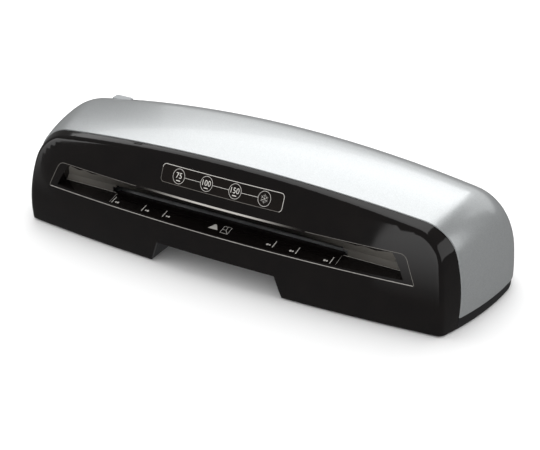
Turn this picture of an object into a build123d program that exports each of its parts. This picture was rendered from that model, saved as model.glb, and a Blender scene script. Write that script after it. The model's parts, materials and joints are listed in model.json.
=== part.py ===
from build123d import *
from math import sin, cos, pi, sqrt
import os

# Pouch laminator for A4 pouches.  All sizes are in millimetres.
# X runs along the rollers, -Y is the side that the pouch goes in at, +Z is up.
# The origin is on the table, under the middle of the casing's box.

# ---- casing -----------------------------------------------------------------
WIDTH = 438.0            # widest place of the casing, near its rear
DEPTH = 143.6            # outer form; the black mouldings are one step in at each end
HEIGHT = 105.0           # table to the crown of the cover
GROUND_GAP = 1.5         # the casing hangs this far above the table on its feet
CROWN_DROP = 23.32       # cover's arch falls by this much at the ends
DOME_RADIUS = 290.0      # cover's arch from front to rear
DOME_Y = 17.0            # where that arch is highest
BACK_RADIUS = DEPTH / 2 - DOME_Y     # round from the top down to the rear wall
SIDE_RADIUS = 160.0      # belly of each end wall, seen from the front
SIDE_Z = 12.0            # height where the end walls are widest
PLAN_RADIUS = 265.0      # belly of each end wall, seen from above
PLAN_INSET = 28.1        # the casing is widest this far in front of its rear
SHOULDER_RADIUS = 38.0   # round between the top and the end walls
REAR_CORNER_RADIUS = 27.0
BOW_DEPTH = 14.165       # fascia's bow: the ends stand this far behind the middle
NOSE_RADIUS = 146.0      # fascia's belly, seen from the side
NOSE_Z = 19.0            # height of the foremost point
RIM_RADIUS = 7.0         # round between the fascia and its rim
WALL = 2.5               # cover and base wall
FASCIA_WALL = 2.7
STEP_IN = 0.8            # black mouldings sit this far inside the silver skin
SEAM = 0.3               # gap at every seam between mouldings
COVER_FRONT_LOW = 17.5   # cover's front edge behind the nose, at the table
COVER_FRONT_TOP = 28.2   # the same, at the casing's full height
COVER_EDGE_FRONT = 12.0  # height of the cover's lower edge, at its front
COVER_EDGE_REAR = 9.0    # and at the rear
REAR_COVER_DEPTH = 9.8   # the cover ends this far in front of the rear

# ---- tunnel under the middle -------------------------------------------------
TUNNEL_FOOT = 63.3       # half width at the table
TUNNEL_TOP = 56.2        # half width at its roof
TUNNEL_GAP = 1.65        # wall of its roof to the lower rollers

# ---- mouth and pouch path ------------------------------------------------------
NIP_Z = 47.5             # height of the pouch path at the rollers
LIP_DROP = 6.0           # lower edge of the mouth, under the pouch path
BROW_RISE = 16.0         # upper edge of the mouth, over it
LEDGE_DROP = 1.5         # side ledges rise to this far under it
MOUTH_DEPTH = 20.8       # foremost point of the fascia to the mouth's back wall
MOUTH_HALF_LOW = 173.0   # half width of the mouth at the lip
MOUTH_HALF_BROW = 163.0  # half width at the brow
MOUTH_TAPER = 10.0       # each end draws in by this much towards the back
MOUTH_CORNER = 4.5       # round in its two upper corners
PATH_HALF = 112.0        # half width of the slot
SLOT_HEIGHT = 6.0
TRAY_HALF = 108.0        # half width of the entry tray
TRAY_THICKNESS = 1.8
TRAY_DROP = 0.9          # tray lies this far below the ledges
LIP_WIDTH = 1.7
TRAY_TUCK = 4.5          # tray runs on past the mouth's back wall by this much
LEDGE_DEEP = 7.0         # ledges are solid down to this far under the lip

# ---- control window ------------------------------------------------------------
WINDOW_HALF = 57.5
WINDOW_RISE = 9.5        # brow to the window's lower edge
WINDOW_HEIGHT = 15.0
WINDOW_CORNER = 3.0
WINDOW_THICKNESS = 1.1
KEY_PITCH = 31.5         # from one printed key to the next
KEYS = 4

# ---- rollers and gears -----------------------------------------------------------
MODULE = 1.0
ROLLER_TEETH = 23
PINION_TEETH = 12
GEAR_WIDTH = 6.0
BACKLASH = 0.16          # each flank stands back by this much
NIP_GAP = 0.3
HOT_INSET = 39.0         # mouth's back wall to the axis of the hot rollers
SHAFT_RADIUS = 4.0
SLEEVE_HALF = 118.0
RUNNING = 0.05           # radial clearance of a shaft in its bush
CARRIAGE_LIFT = 1.5      # the release lever lifts the upper rollers by this much
LEVER_TRAVEL = 10.0

# ---- mechanism frame ---------------------------------------------------------------
FRAME_HALF = 130.0       # inner faces of the frame plates
PLATE = 1.6
FRAME_LOW = 8.0
FRAME_HEADROOM = 17.0    # frame's top to the crown of the cover
FRAME_LEAD = 3.5         # mouth's back wall to the frame's front edge
FRAME_TAIL = 22.0        # axis of the exit rollers to the frame's rear edge
FRAME_CLIP_FRONT = (14.0, 20.0)   # corner taken off the plate's front top, along Y and Z
FRAME_CLIP_REAR = (18.0, 14.0)    # and off its rear top
FLANGE = 14.0
CARRIAGE_GAP = 1.0       # frame plate to carriage plate
BUSH_RADIUS = 6.5
TIE_RADIUS = 3.0
SHOE_LEAD = 2.0          # frame's front edge to the heating shoes
SHOE_DEPTH = 18.5
SHOE_HEIGHT = 8.0
SHOE_GAP = 1.2           # pouch path to the face of each heating shoe
MOTOR_RADIUS = 18.0
MOTOR_LENGTH = 25.0
MOTOR_SHAFT_RADIUS = 2.0
STANDOFF_RADIUS = 3.0
IDLER_STUD_RADIUS = 3.0
ELEMENT = 1.4            # thickness of a heating element
EAR_LENGTH = 14.0        # carriage's ear, from the frame plate to its tip
EAR_INSET = 16.0         # axis of the exit rollers to the middle of the ear
EAR_RISE = 20.5          # pouch path to the ear's underside
SPRING_RADIUS = 3.6
SPRING_WIRE = 0.6
SPRING_TURNS = 4.5
SLIDE_DROP = 10.0        # ear's underside to the foot of the release slide
BUSH_FLANGE = 1.5
GEAR_HUB = 1.5
CLIP_INSET = 2.4         # frame plate to the face of a retaining clip
CLIP_THICKNESS = 0.8

# ---- small fittings ------------------------------------------------------------------
SCREW_RADIUS = 1.4
HEAD_RADIUS = 2.9
HEAD_HEIGHT = 1.6
HOLE_PLAY = 0.1          # a screw's hole is wider by this much all round
FOOT_RADIUS = 8.0
FOOT_HEIGHT = 2.5
POST_INSET = 33.0        # end of the casing to the cover's screw posts
POST_LEAD = 49.8         # foremost point to the front posts
POST_TAIL = 18.0         # cover's rear edge to the rear posts
WELL_RADIUS = 3.3        # well for a cover screw's head
WELL_DEPTH = 6.0
POST_RADIUS = 4.0
SWITCH_INSET = 69.0      # left end of the casing to the switch
SWITCH_Z = 30.0
ROCKER_WIDTH = 13.0
ROCKER_HEIGHT = 19.0
ROCKER_TILT = 7.0
GLAND_INSET = 45.0       # left end of the casing to the cord gland
GLAND_Z = 26.0
GLAND_RADIUS = 6.0
CORD_BORE = 3.5
LEVER_REACH = 14.4       # ear's tip to the middle of the release tab, at rest
LEVER_LEAD = 14.0        # middle of the ear to the middle of the tab
TAB_LENGTH = 18.0
TAB_WIDTH = 9.0
TAB_PROUD = 1.2
SLOT_PLAY = 1.0          # slot in the cover is wider than the tab by this much all round
POWER_Z = 9.0            # underside of the power board
POWER_INSET = 41.0       # left end of the casing to the power board
POWER_WIDTH = 40.0
POWER_LEAD = 25.8        # foremost point to the power board
POWER_DEPTH = 70.0
BOARD = 1.6
VENT_PITCH = 7.0
VENT_HALF = 1.2
VENT_SHIFT = 70.0        # lower row of vents stands this far to the right
BOARD_HOLE = 4.0         # board's edge to its screws
FOOT_INSET = 54.0        # end of the casing to the feet
FOOT_LEAD = 31.8
FOOT_TAIL = 19.8

# ---- worked out from the sizes above ---------------------------------------------------
FRONT_Y = -DEPTH / 2
REAR_Y = DEPTH / 2


def radius_of_arc(chord, rise):
    """Radius of the arc that has this chord and this rise."""
    return (chord ** 2 / 4 + rise ** 2) / (2 * rise)


CROWN_RADIUS = radius_of_arc(WIDTH, CROWN_DROP)
BOW_RADIUS = radius_of_arc(WIDTH, BOW_DEPTH)
PLAN_Y = REAR_Y - PLAN_INSET
REAR_SPLIT = REAR_Y - REAR_COVER_DEPTH
LIP_Z = NIP_Z - LIP_DROP
BROW_Z = NIP_Z + BROW_RISE
LEDGE_BACK_Z = NIP_Z - LEDGE_DROP
MOUTH_BACK_Y = FRONT_Y + MOUTH_DEPTH
TRAY_REAR_Y = MOUTH_BACK_Y + TRAY_TUCK
WINDOW_LOW = BROW_Z + WINDOW_RISE
WINDOW_TOP = WINDOW_LOW + WINDOW_HEIGHT
HOT_Y = MOUTH_BACK_Y + HOT_INSET
FRAME_TOP = HEIGHT - FRAME_HEADROOM
FRAME_FRONT_Y = MOUTH_BACK_Y + FRAME_LEAD
SHOE_FRONT_Y = FRAME_FRONT_Y + SHOE_LEAD
SHOE_REAR_Y = SHOE_FRONT_Y + SHOE_DEPTH
POST_X = WIDTH / 2 - POST_INSET
POST_FRONT_Y = FRONT_Y + POST_LEAD
POST_REAR_Y = REAR_SPLIT - POST_TAIL
SWITCH_X = -WIDTH / 2 + SWITCH_INSET
GLAND_X = -WIDTH / 2 + GLAND_INSET
POWER_X0 = -WIDTH / 2 + POWER_INSET
POWER_X1 = POWER_X0 + POWER_WIDTH
POWER_Y0 = FRONT_Y + POWER_LEAD
POWER_Y1 = POWER_Y0 + POWER_DEPTH
POWER_HOLES_X = (POWER_X0 + BOARD_HOLE, POWER_X1 - BOARD_HOLE)
POWER_HOLES_Y = (POWER_Y0 + BOARD_HOLE, POWER_Y1 - BOARD_HOLE)
BOW_AXIS = Axis((0, FRONT_Y + BOW_RADIUS, 0), (0, 0, 1))
CROWN_AXIS = Axis((0, 0, HEIGHT - CROWN_RADIUS), (0, 1, 0))
AXLE_STEP = MODULE * ROLLER_TEETH
SLEEVE_RADIUS = (AXLE_STEP - NIP_GAP) / 2
LOWER_Z = NIP_Z - AXLE_STEP / 2
UPPER_Z = NIP_Z + AXLE_STEP / 2
IDLER_Y = HOT_Y + AXLE_STEP
EXIT_Y = HOT_Y + 2 * AXLE_STEP
FRAME_REAR_Y = EXIT_Y + FRAME_TAIL
TUNNEL_HEIGHT = LOWER_Z - SLEEVE_RADIUS - TUNNEL_GAP - WALL
EAR_Y = EXIT_Y + EAR_INSET
EAR_Z = NIP_Z + EAR_RISE
SLIDE_LOW = EAR_Z - SLIDE_DROP
SLIDE_REAR_Y = EAR_Y + 4
LEVER_Y = EAR_Y - LEVER_LEAD
PINION_Y = HOT_Y - MODULE * (ROLLER_TEETH + PINION_TEETH) / 2
FLOOR_TOP = GROUND_GAP + WALL
PLATE_OUT = FRAME_HALF + PLATE
EAR_X0 = -PLATE_OUT - EAR_LENGTH
LEVER_X = EAR_X0 - LEVER_REACH
SPRING_X = FRAME_HALF - FLANGE / 2 - 1
GEAR_X = PLATE_OUT + HEAD_HEIGHT + 0.4
GEAR_END = GEAR_X + GEAR_WIDTH
MOTOR_PLATE_X = GEAR_END + 3.0
CARRIAGE_OUT = FRAME_HALF - CARRIAGE_GAP
CARRIAGE_IN = CARRIAGE_OUT - PLATE
CARRIAGE_SHELF_Z = UPPER_Z + SLEEVE_RADIUS + 1.6
REAR_PANEL_Y = REAR_Y - 2.0
BIG = 600.0

made = {}


def block(x0, x1, y0, y1, z0, z1):
    """Box between two corners."""
    size = Box(x1 - x0, y1 - y0, z1 - z0)
    return size.moved(Location(((x0 + x1) / 2, (y0 + y1) / 2, (z0 + z1) / 2)))


def rod_x(radius, x0, x1, y, z):
    """Round bar along X."""
    bar = Cylinder(radius, x1 - x0, rotation=(0, 90, 0))
    return bar.moved(Location(((x0 + x1) / 2, y, z)))


def rod_y(radius, x, y0, y1, z):
    """Round bar along Y."""
    bar = Cylinder(radius, y1 - y0, rotation=(90, 0, 0))
    return bar.moved(Location((x, (y0 + y1) / 2, z)))


def rod_z(radius, x, y, z0, z1):
    """Round bar along Z."""
    return Cylinder(radius, z1 - z0).moved(Location((x, y, (z0 + z1) / 2)))


def slab_x(points, x0, x1):
    """Outline of (y, z) points, drawn out along X."""
    outline = Polyline(*[(x0, y, z) for y, z in points], close=True)
    return extrude(make_face(outline), x1 - x0, dir=(1, 0, 0))


def slab_y(points, y0, y1):
    """Outline of (x, z) points, drawn out along Y."""
    outline = Polyline(*[(x, y0, z) for x, z in points], close=True)
    return extrude(make_face(outline), y1 - y0, dir=(0, 1, 0))


def both_sides(piece):
    """The piece and its mirror image across the middle of the machine."""
    return [piece, mirror(piece, Plane.YZ)]


def save(name, *solids):
    """Keep one sub-part and write its file."""
    flat = []
    for item in solids:
        flat.extend(item.solids())
    made[name] = flat
    shape = flat[0] if len(flat) == 1 else Compound(children=flat)
    shape.label = name
    export_step(shape, f"parts/{name}.step")


# ---- the casing's outer form, at any depth under the skin ----------------------------------

def swept_front(profile_points):
    """Everything behind the nose curve, swept round the bow."""
    low, middle, high = profile_points
    back = REAR_Y + 20
    edges = [ThreePointArc((0, *low), (0, *middle), (0, *high))]
    edges.append(Line((0, *high), (0, back, high[1])))
    edges.append(Line((0, back, high[1]), (0, back, low[1])))
    edges.append(Line((0, back, low[1]), (0, *low)))
    face = make_face(edges)
    return revolve(face.rotate(BOW_AXIS, -10), BOW_AXIS, 20)


def front_form(inset):
    radius = NOSE_RADIUS - inset
    centre_y = FRONT_Y + NOSE_RADIUS
    z_low = -5.0
    z_high = HEIGHT + 5.0

    def y_at(z):
        return centre_y - sqrt(radius ** 2 - (z - NOSE_Z) ** 2)

    points = [(y_at(z), z) for z in (z_low, NOSE_Z, z_high)]
    return swept_front(points)


def top_form(inset):
    """Everything under the arched top, which rounds down into the rear wall."""
    dome = DOME_RADIUS - inset
    back = BACK_RADIUS - inset
    y_start = FRONT_Y - 20

    def z_at(y):
        return HEIGHT - DOME_RADIUS + sqrt(dome ** 2 - (y - DOME_Y) ** 2)

    start = (0, y_start, z_at(y_start))
    half_way = (0, (y_start + DOME_Y) / 2, z_at((y_start + DOME_Y) / 2))
    top = (0, DOME_Y, HEIGHT - inset)
    centre_z = HEIGHT - BACK_RADIUS
    diagonal = back * sqrt(0.5)
    turn = (0, DOME_Y + diagonal, centre_z + diagonal)
    end = (0, DOME_Y + back, centre_z)
    z_low = -40.0
    edges = [ThreePointArc(start, half_way, top), ThreePointArc(top, turn, end)]
    edges.append(Line(end, (0, DOME_Y + back, z_low)))
    edges.append(Line((0, DOME_Y + back, z_low), (0, y_start, z_low)))
    edges.append(Line((0, y_start, z_low), start))
    face = make_face(edges)
    return revolve(face.rotate(CROWN_AXIS, -14), CROWN_AXIS, 28)


def side_form(inset):
    """Everything inside the bellied right-hand end wall."""
    radius = SIDE_RADIUS - inset
    centre_x = WIDTH / 2 - SIDE_RADIUS
    axis_x = WIDTH / 2 - PLAN_RADIUS
    z_low = -40.0
    z_high = HEIGHT + 25

    def x_at(z):
        return centre_x + sqrt(radius ** 2 - (z - SIDE_Z) ** 2)

    low = (x_at(z_low), PLAN_Y, z_low)
    widest = (WIDTH / 2 - inset, PLAN_Y, SIDE_Z)
    high = (x_at(z_high), PLAN_Y, z_high)
    edges = [Line((axis_x, PLAN_Y, z_low), low), ThreePointArc(low, widest, high)]
    edges.append(Line(high, (axis_x, PLAN_Y, z_high)))
    edges.append(Line((axis_x, PLAN_Y, z_high), (axis_x, PLAN_Y, z_low)))
    return revolve(make_face(edges), Axis((axis_x, PLAN_Y, 0), (0, 0, 1)), 360)


def rear_corners(inset):
    """Upright block with the two rounded rear corners."""
    half = WIDTH / 2 - inset
    body = block(-half, half, FRONT_Y - 20, REAR_Y - inset, -30, HEIGHT + 20)
    upright = body.edges().filter_by(Axis.Z).filter_by(lambda e: e.center().Y > 0)
    return fillet(upright, REAR_CORNER_RADIUS - inset)


def is_shoulder(edge):
    place = edge.center()
    return abs(place.X) > WIDTH / 3 and place.Z > HEIGHT / 3 and edge.length > 20


def is_rim(edge):
    """Edge where the bowed front meets the top or an end wall."""
    place = edge.center()
    return place.Y < FRONT_Y / 4 and place.Z > 0 and edge.length > 8


def form(inset):
    """The whole outer form, this far under the skin."""
    right = side_form(inset)
    body = top_form(inset) & right & mirror(right, Plane.YZ)
    body = body.solid()
    body = fillet(body.edges().filter_by(is_shoulder), SHOULDER_RADIUS - inset)
    body = body & rear_corners(inset)
    body = (body & front_form(inset)).solid()
    body = (body & block(-BIG, BIG, -BIG, BIG, GROUND_GAP, BIG)).solid()
    rim = [e for e in body.edges().filter_by(is_rim) if e.bounding_box().max.Z > GROUND_GAP + 3]
    return fillet(rim, RIM_RADIUS - inset)


def behind_cover_edge(gap):
    """Everything behind the cover's front edge, which leans and follows the bow."""
    low = (FRONT_Y + COVER_FRONT_LOW + gap, 0.0)
    high = (FRONT_Y + COVER_FRONT_TOP + gap, HEIGHT)
    run = high[0] - low[0]
    rise = high[1] - low[1]
    far_low = (low[0] - run * 0.1, -rise * 0.1)
    far_high = (high[0] + run * 0.1, high[1] + rise * 0.1)
    back = REAR_Y + 20
    corners = [far_low, far_high, (back, far_high[1]), (back, far_low[1])]
    outline = Polyline(*[(0, y, z) for y, z in corners], close=True)
    return revolve(make_face(outline).rotate(BOW_AXIS, -10), BOW_AXIS, 20)


def above_cover_edge(gap):
    """Everything above the cover's lower edge, which falls a little to the rear."""
    front = (FRONT_Y, COVER_EDGE_FRONT + gap)
    rear = (REAR_Y + 5, COVER_EDGE_REAR + gap)
    return slab_x([front, rear, (rear[0], BIG), (front[0], BIG)], -BIG, BIG)


def tunnel(grow):
    """Space under the middle of the machine, or the wall round it."""
    foot = TUNNEL_FOOT + grow
    top = TUNNEL_TOP + grow
    roof = TUNNEL_HEIGHT + grow
    return slab_y([(-foot, -10), (-foot, 0), (-top, roof), (top, roof), (foot, 0), (foot, -10)],
                  FRONT_Y - 10, REAR_Y + 10)


# ---- mouth ------------------------------------------------------------------------------------

def mouth_section(z, grow, bowed):
    """One level of the mouth: its back edge is straight low down and bowed at the brow."""
    share = (z - LIP_Z) / (BROW_Z - LIP_Z)
    half = MOUTH_HALF_LOW + share * (MOUTH_HALF_BROW - MOUTH_HALF_LOW) + grow
    half_back = half - MOUTH_TAPER
    y_front = FRONT_Y - 20
    if bowed:
        drop = NOSE_RADIUS - sqrt(NOSE_RADIUS ** 2 - (BROW_Z - NOSE_Z) ** 2)
        y_middle = FRONT_Y + drop + STEP_IN + grow
        y_end = y_middle + half_back ** 2 / (2 * BOW_RADIUS)
        back = ThreePointArc((half_back, y_end, z), (0, y_middle, z), (-half_back, y_end, z))
    else:
        y_end = MOUTH_BACK_Y + grow
        back = Line((half_back, y_end, z), (-half_back, y_end, z))
    edges = [Line((-half, y_front, z), (half, y_front, z))]
    edges.append(Line((half, y_front, z), (half_back, y_end, z)))
    edges.append(back)
    edges.append(Line((-half_back, y_end, z), (-half, y_front, z)))
    return make_face(edges)


def mouth(grow):
    knee = LEDGE_BACK_Z + SLOT_HEIGHT
    half_ends = MOUTH_HALF_BROW - MOUTH_TAPER
    low = mouth_section(LIP_Z - 6 - grow, grow, False)
    middle = mouth_section(knee, grow, False)
    high = mouth_section(BROW_Z + grow, grow, True)
    upper = loft([middle, high], ruled=True)
    high_edges = [e for e in upper.edges() if e.center().Z > BROW_Z + grow - SEAM]
    ends = [e for e in high_edges if abs(e.center().X) > half_ends]
    return loft([low, middle], ruled=True) + fillet(ends, MOUTH_CORNER + grow)


def ledge_top(y, drop=0.0):
    """Height of the side ledges at a distance from the front."""
    share = (y - FRONT_Y) / (MOUTH_BACK_Y - FRONT_Y)
    return LIP_Z + share * (LEDGE_BACK_Z - LIP_Z) - drop


def mouth_floor():
    """Ledges of the mouth, with the pocket that the entry tray lies in."""
    y0 = FRONT_Y - 5
    y1 = MOUTH_BACK_Y + 0.01
    low = LIP_Z - LEDGE_DEEP
    half = MOUTH_HALF_LOW + 5
    ledges = slab_x([(y0, ledge_top(y0)), (y1, ledge_top(y1)), (y1, low), (y0, low)], -half, half)
    return ledges - tray_body(SEAM / 2)


def tray_body(grow):
    """The sloping entry tray, or the pocket for it when grown."""
    y0 = FRONT_Y - 5
    y1 = TRAY_REAR_Y + grow
    top = [(y0, ledge_top(y0, TRAY_DROP)), (y1, ledge_top(y1, TRAY_DROP))]
    deep = TRAY_THICKNESS + grow
    if grow:
        top = [(y, z + 8) for y, z in top]
        deep = deep + 8
    low = [(y, z - deep) for y, z in reversed(top)]
    plate = slab_x(top + low, -TRAY_HALF - grow, TRAY_HALF + grow)
    return plate & front_form(STEP_IN + LIP_WIDTH - grow)


def window_prism(grow):
    """Rounded rectangle of the control window, drawn out along Y."""
    half = WINDOW_HALF + grow
    body = block(-half, half, FRONT_Y - 5, 0, WINDOW_LOW - grow, WINDOW_TOP + grow)
    return fillet(body.edges().filter_by(Axis.Y), WINDOW_CORNER + grow)


def make_fascia(skin, inner):
    front = (skin - inner) - behind_cover_edge(-SEAM / 2)
    liner = (mouth(FASCIA_WALL) & skin) - block(-BIG, BIG, MOUTH_BACK_Y + FASCIA_WALL, BIG, 0, BIG)
    liner = liner - block(-BIG, BIG, -BIG, BIG, -BIG, LIP_Z - 3)
    body = front + liner
    body = body - (mouth(0) - mouth_floor())
    slot = block(-PATH_HALF, PATH_HALF, MOUTH_BACK_Y - 2, MOUTH_BACK_Y + 10,
                 ledge_top(MOUTH_BACK_Y, TRAY_DROP), NIP_Z + SLOT_HEIGHT / 2)
    body = body - slot - tray_body(SEAM / 2) - tunnel(0)
    pocket = window_prism(SEAM / 2) - front_form(STEP_IN + WINDOW_THICKNESS + SEAM / 2)
    body = body - pocket
    save("front_fascia", largest(body))
    lens = (window_prism(0) & front_form(STEP_IN)) - front_form(STEP_IN + WINDOW_THICKNESS)
    save("control_window", largest(lens))
    save("entry_tray", tray_body(0))


def largest(shape):
    """The main solid, without the crumbs of a cut."""
    return max(shape.solids(), key=lambda s: s.volume)


def screw_posts(skin):
    """Posts inside the cover that its screws come up into."""
    posts = []
    for x in (-POST_X, POST_X):
        for y in (POST_FRONT_Y, POST_REAR_Y):
            post = rod_z(POST_RADIUS, x, y, COVER_EDGE_FRONT + 2, HEIGHT) & skin
            hole = rod_z(SCREW_RADIUS + HOLE_PLAY, x, y, 0, COVER_EDGE_FRONT + 18)
            posts.append(post - hole)
    return posts


def lever_slot():
    """Slot in the cover that the release tab slides in."""
    x0 = LEVER_X - TAB_LENGTH / 2 - SLOT_PLAY
    x1 = LEVER_X + TAB_LENGTH / 2 + LEVER_TRAVEL + SLOT_PLAY
    half = TAB_WIDTH / 2 + SLOT_PLAY
    return block(x0, x1, LEVER_Y - half, LEVER_Y + half, FRAME_TOP - 20, HEIGHT + 5)


def make_cover(outer, inner, skin):
    shell = (outer - inner) & behind_cover_edge(SEAM / 2) & above_cover_edge(0)
    shell = shell - block(-BIG, BIG, REAR_SPLIT, BIG, -BIG, BIG)
    body = largest(shell)
    for post in screw_posts(skin):
        body = body + post
    body = body - lever_slot()
    save("top_cover", largest(body))


def make_rear_cover(skin, inner):
    shell = (skin - inner) & block(-BIG, BIG, REAR_SPLIT + SEAM, BIG, 0, BIG)
    panel = skin & block(-BIG, BIG, REAR_PANEL_Y - WALL, REAR_PANEL_Y, 0, BIG)
    body = (shell + panel) & above_cover_edge(SEAM)
    recess_half = WIDTH / 2 - REAR_CORNER_RADIUS - 6
    recess = block(-recess_half, recess_half, REAR_PANEL_Y, REAR_Y + 5, 15, 66)
    body = body - recess - tunnel(SEAM)
    body = body - block(-PATH_HALF, PATH_HALF, REAR_SPLIT, REAR_Y + 5,
                        NIP_Z - SLOT_HEIGHT / 2, NIP_Z + SLOT_HEIGHT / 2)
    body = body - block(SWITCH_X - 7.6, SWITCH_X + 7.6, REAR_SPLIT, REAR_Y + 5,
                        SWITCH_Z - 10.6, SWITCH_Z + 10.6)
    body = body - rod_y(GLAND_RADIUS + HOLE_PLAY, GLAND_X, REAR_SPLIT, REAR_Y + 5, GLAND_Z)
    for x in vent_places():
        body = body - block(x - VENT_HALF, x + VENT_HALF, REAR_SPLIT, REAR_Y + 5, 56, 64)
        low = x + VENT_SHIFT
        body = body - block(low - VENT_HALF, low + VENT_HALF, REAR_SPLIT, REAR_Y + 5, 24, 38)
    save("rear_cover", largest(body))


def vent_places():
    """Middle of each upright vent in the rear panel."""
    return [VENT_PITCH * (i - 12) for i in range(25)]


def base_bosses():
    """Places of the bosses on the floor: x, y, top."""
    places = []
    for x in (-FRAME_HALF + FLANGE / 2, FRAME_HALF - FLANGE / 2):
        for y in (FRAME_FRONT_Y + 8, FRAME_REAR_Y - 8):
            places.append((x, y, FRAME_LOW))
    for x in POWER_HOLES_X:
        for y in POWER_HOLES_Y:
            places.append((x, y, POWER_Z))
    return places


def make_base(skin, far_inner):
    """Floor pan: its low side wall shows as the black band under the cover."""
    band = (skin & behind_cover_edge(SEAM / 2)) - above_cover_edge(-SEAM)
    nose = (far_inner - behind_cover_edge(SEAM / 2)) - above_cover_edge(-SEAM)
    pan = band + nose
    hollow = (skin_hollow(far_inner)) & block(-BIG, BIG, -BIG, BIG, FLOOR_TOP, BIG)
    body = pan - hollow
    roof = tunnel(WALL) & far_inner & block(-BIG, BIG, -BIG, REAR_PANEL_Y - WALL - SEAM, 0, BIG)
    body = (body + roof) - tunnel(0)
    for x, y, top in base_bosses():
        body = body + rod_z(3.6, x, y, GROUND_GAP, top)
        body = body - rod_z(SCREW_RADIUS + HOLE_PLAY, x, y, FLOOR_TOP - 1, top + 1)
    for x in (-POST_X, POST_X):
        for y in (POST_FRONT_Y, POST_REAR_Y):
            body = body + rod_z(6, x, y, GROUND_GAP, COVER_EDGE_FRONT + 1.5)
            body = body - rod_z(SCREW_RADIUS + HOLE_PLAY, x, y, 0, HEIGHT)
            body = body - rod_z(WELL_RADIUS, x, y, 0, WELL_DEPTH)
    for x, y in foot_places():
        body = body - rod_z(FOOT_RADIUS + HOLE_PLAY, x, y, 0, FOOT_HEIGHT)
    for row in range(9):
        for side in (-1, 1):
            x = side * 98
            y = -32 + 8 * row
            body = body - block(x - 16, x + 16, y - 1.2, y + 1.2, 0, FLOOR_TOP + 1)
    save("base_tray", largest(body))


def skin_hollow(far_inner):
    return far_inner & block(-BIG, BIG, FRONT_Y + FASCIA_WALL + 3, REAR_SPLIT + 3, 0, BIG)


def foot_places():
    x = WIDTH / 2 - FOOT_INSET
    return [(side * x, y) for side in (-1, 1) for y in (FRONT_Y + FOOT_LEAD, REAR_Y - FOOT_TAIL)]


def cross_recess(radius):
    """Cross in a screw's head."""
    arm = Box(radius * 1.1, radius * 0.26, 1.6)
    return arm + arm.rotate(Axis.Z, 90)


def screw(length):
    """Pan-head screw: its head sits on Z = 0 and its shank runs down."""
    head = rod_z(HEAD_RADIUS, 0, 0, 0, HEAD_HEIGHT)
    head = fillet(head.edges().group_by(Axis.Z)[-1], HEAD_HEIGHT * 0.45)
    head = head - cross_recess(HEAD_RADIUS).moved(Location((0, 0, HEAD_HEIGHT)))
    return (head + rod_z(SCREW_RADIUS, 0, 0, -length, 0)).solid()


def screw_at(length, place, turn=(0, 0, 0)):
    return screw(length).moved(Location(place, turn))


def make_fasteners():
    cover_screws = []
    for x in (-POST_X, POST_X):
        for y in (POST_FRONT_Y, POST_REAR_Y):
            cover_screws.append(screw_at(18, (x, y, WELL_DEPTH), (180, 0, 0)))
    save("cover_screws", *cover_screws)
    frame_screws = []
    for x in (-FRAME_HALF + FLANGE / 2, FRAME_HALF - FLANGE / 2):
        for y in (FRAME_FRONT_Y + 8, FRAME_REAR_Y - 8):
            frame_screws.append(screw_at(6, (x, y, FRAME_LOW + PLATE)))
    for y, z in tie_places() + shoe_screw_places():
        frame_screws.append(screw_at(8, (PLATE_OUT, y, z), (0, 90, 0)))
        frame_screws.append(screw_at(8, (-PLATE_OUT, y, z), (0, -90, 0)))
    save("frame_screws", *frame_screws)
    board_screws = []
    for x in POWER_HOLES_X:
        for y in POWER_HOLES_Y:
            board_screws.append(screw_at(6, (x, y, POWER_Z + BOARD)))
    save("board_screws", *board_screws)


def tie_places():
    """(y, z) of the tie rods that join the two frame plates."""
    low = LOWER_Z - 7
    high = FRAME_TOP - PLATE - TIE_RADIUS - 0.5
    return [(FRAME_FRONT_Y + 6, low), (FRAME_REAR_Y - 5, low), (IDLER_Y, high)]


def shoe_screw_places():
    middle = (SHOE_FRONT_Y + SHOE_REAR_Y) / 2
    lower = NIP_Z - SHOE_GAP - SHOE_HEIGHT / 2
    upper = NIP_Z + SHOE_GAP + SHOE_HEIGHT / 2
    return [(middle, lower), (middle, upper)]


# ---- mechanism frame -------------------------------------------------------------------------------

def frame_plate():
    """Right-hand frame plate with a flange turned in at its foot and its top."""
    front_y, front_z = FRAME_CLIP_FRONT
    rear_y, rear_z = FRAME_CLIP_REAR
    outline = [(FRAME_FRONT_Y, FRAME_LOW), (FRAME_FRONT_Y, FRAME_TOP - front_z)]
    outline += [(FRAME_FRONT_Y + front_y, FRAME_TOP), (FRAME_REAR_Y - rear_y, FRAME_TOP)]
    outline += [(FRAME_REAR_Y, FRAME_TOP - rear_z), (FRAME_REAR_Y, FRAME_LOW)]
    body = slab_x(outline, FRAME_HALF, PLATE_OUT)
    inner = FRAME_HALF - FLANGE
    body = body + block(inner, FRAME_HALF, FRAME_FRONT_Y, FRAME_REAR_Y, FRAME_LOW, FRAME_LOW + PLATE)
    body = body + block(inner, FRAME_HALF, HOT_Y - 10, FRAME_REAR_Y - rear_y,
                        FRAME_TOP - PLATE, FRAME_TOP)
    for y in (HOT_Y, EXIT_Y):
        body = body - rod_x(BUSH_RADIUS, 0, BIG, y, LOWER_Z)
        play = SHAFT_RADIUS + 0.6
        for z in (UPPER_Z, UPPER_Z + CARRIAGE_LIFT):
            body = body - rod_x(play, 0, BIG, y, z)
        body = body - block(0, BIG, y - play, y + play, UPPER_Z, UPPER_Z + CARRIAGE_LIFT)
    for y, z in tie_places() + shoe_screw_places():
        body = body - rod_x(SCREW_RADIUS + HOLE_PLAY, 0, BIG, y, z)
    for y in (FRAME_FRONT_Y + 8, FRAME_REAR_Y - 8):
        body = body - rod_z(SCREW_RADIUS + HOLE_PLAY, FRAME_HALF - FLANGE / 2, y, 0, 20)
    return body


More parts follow.
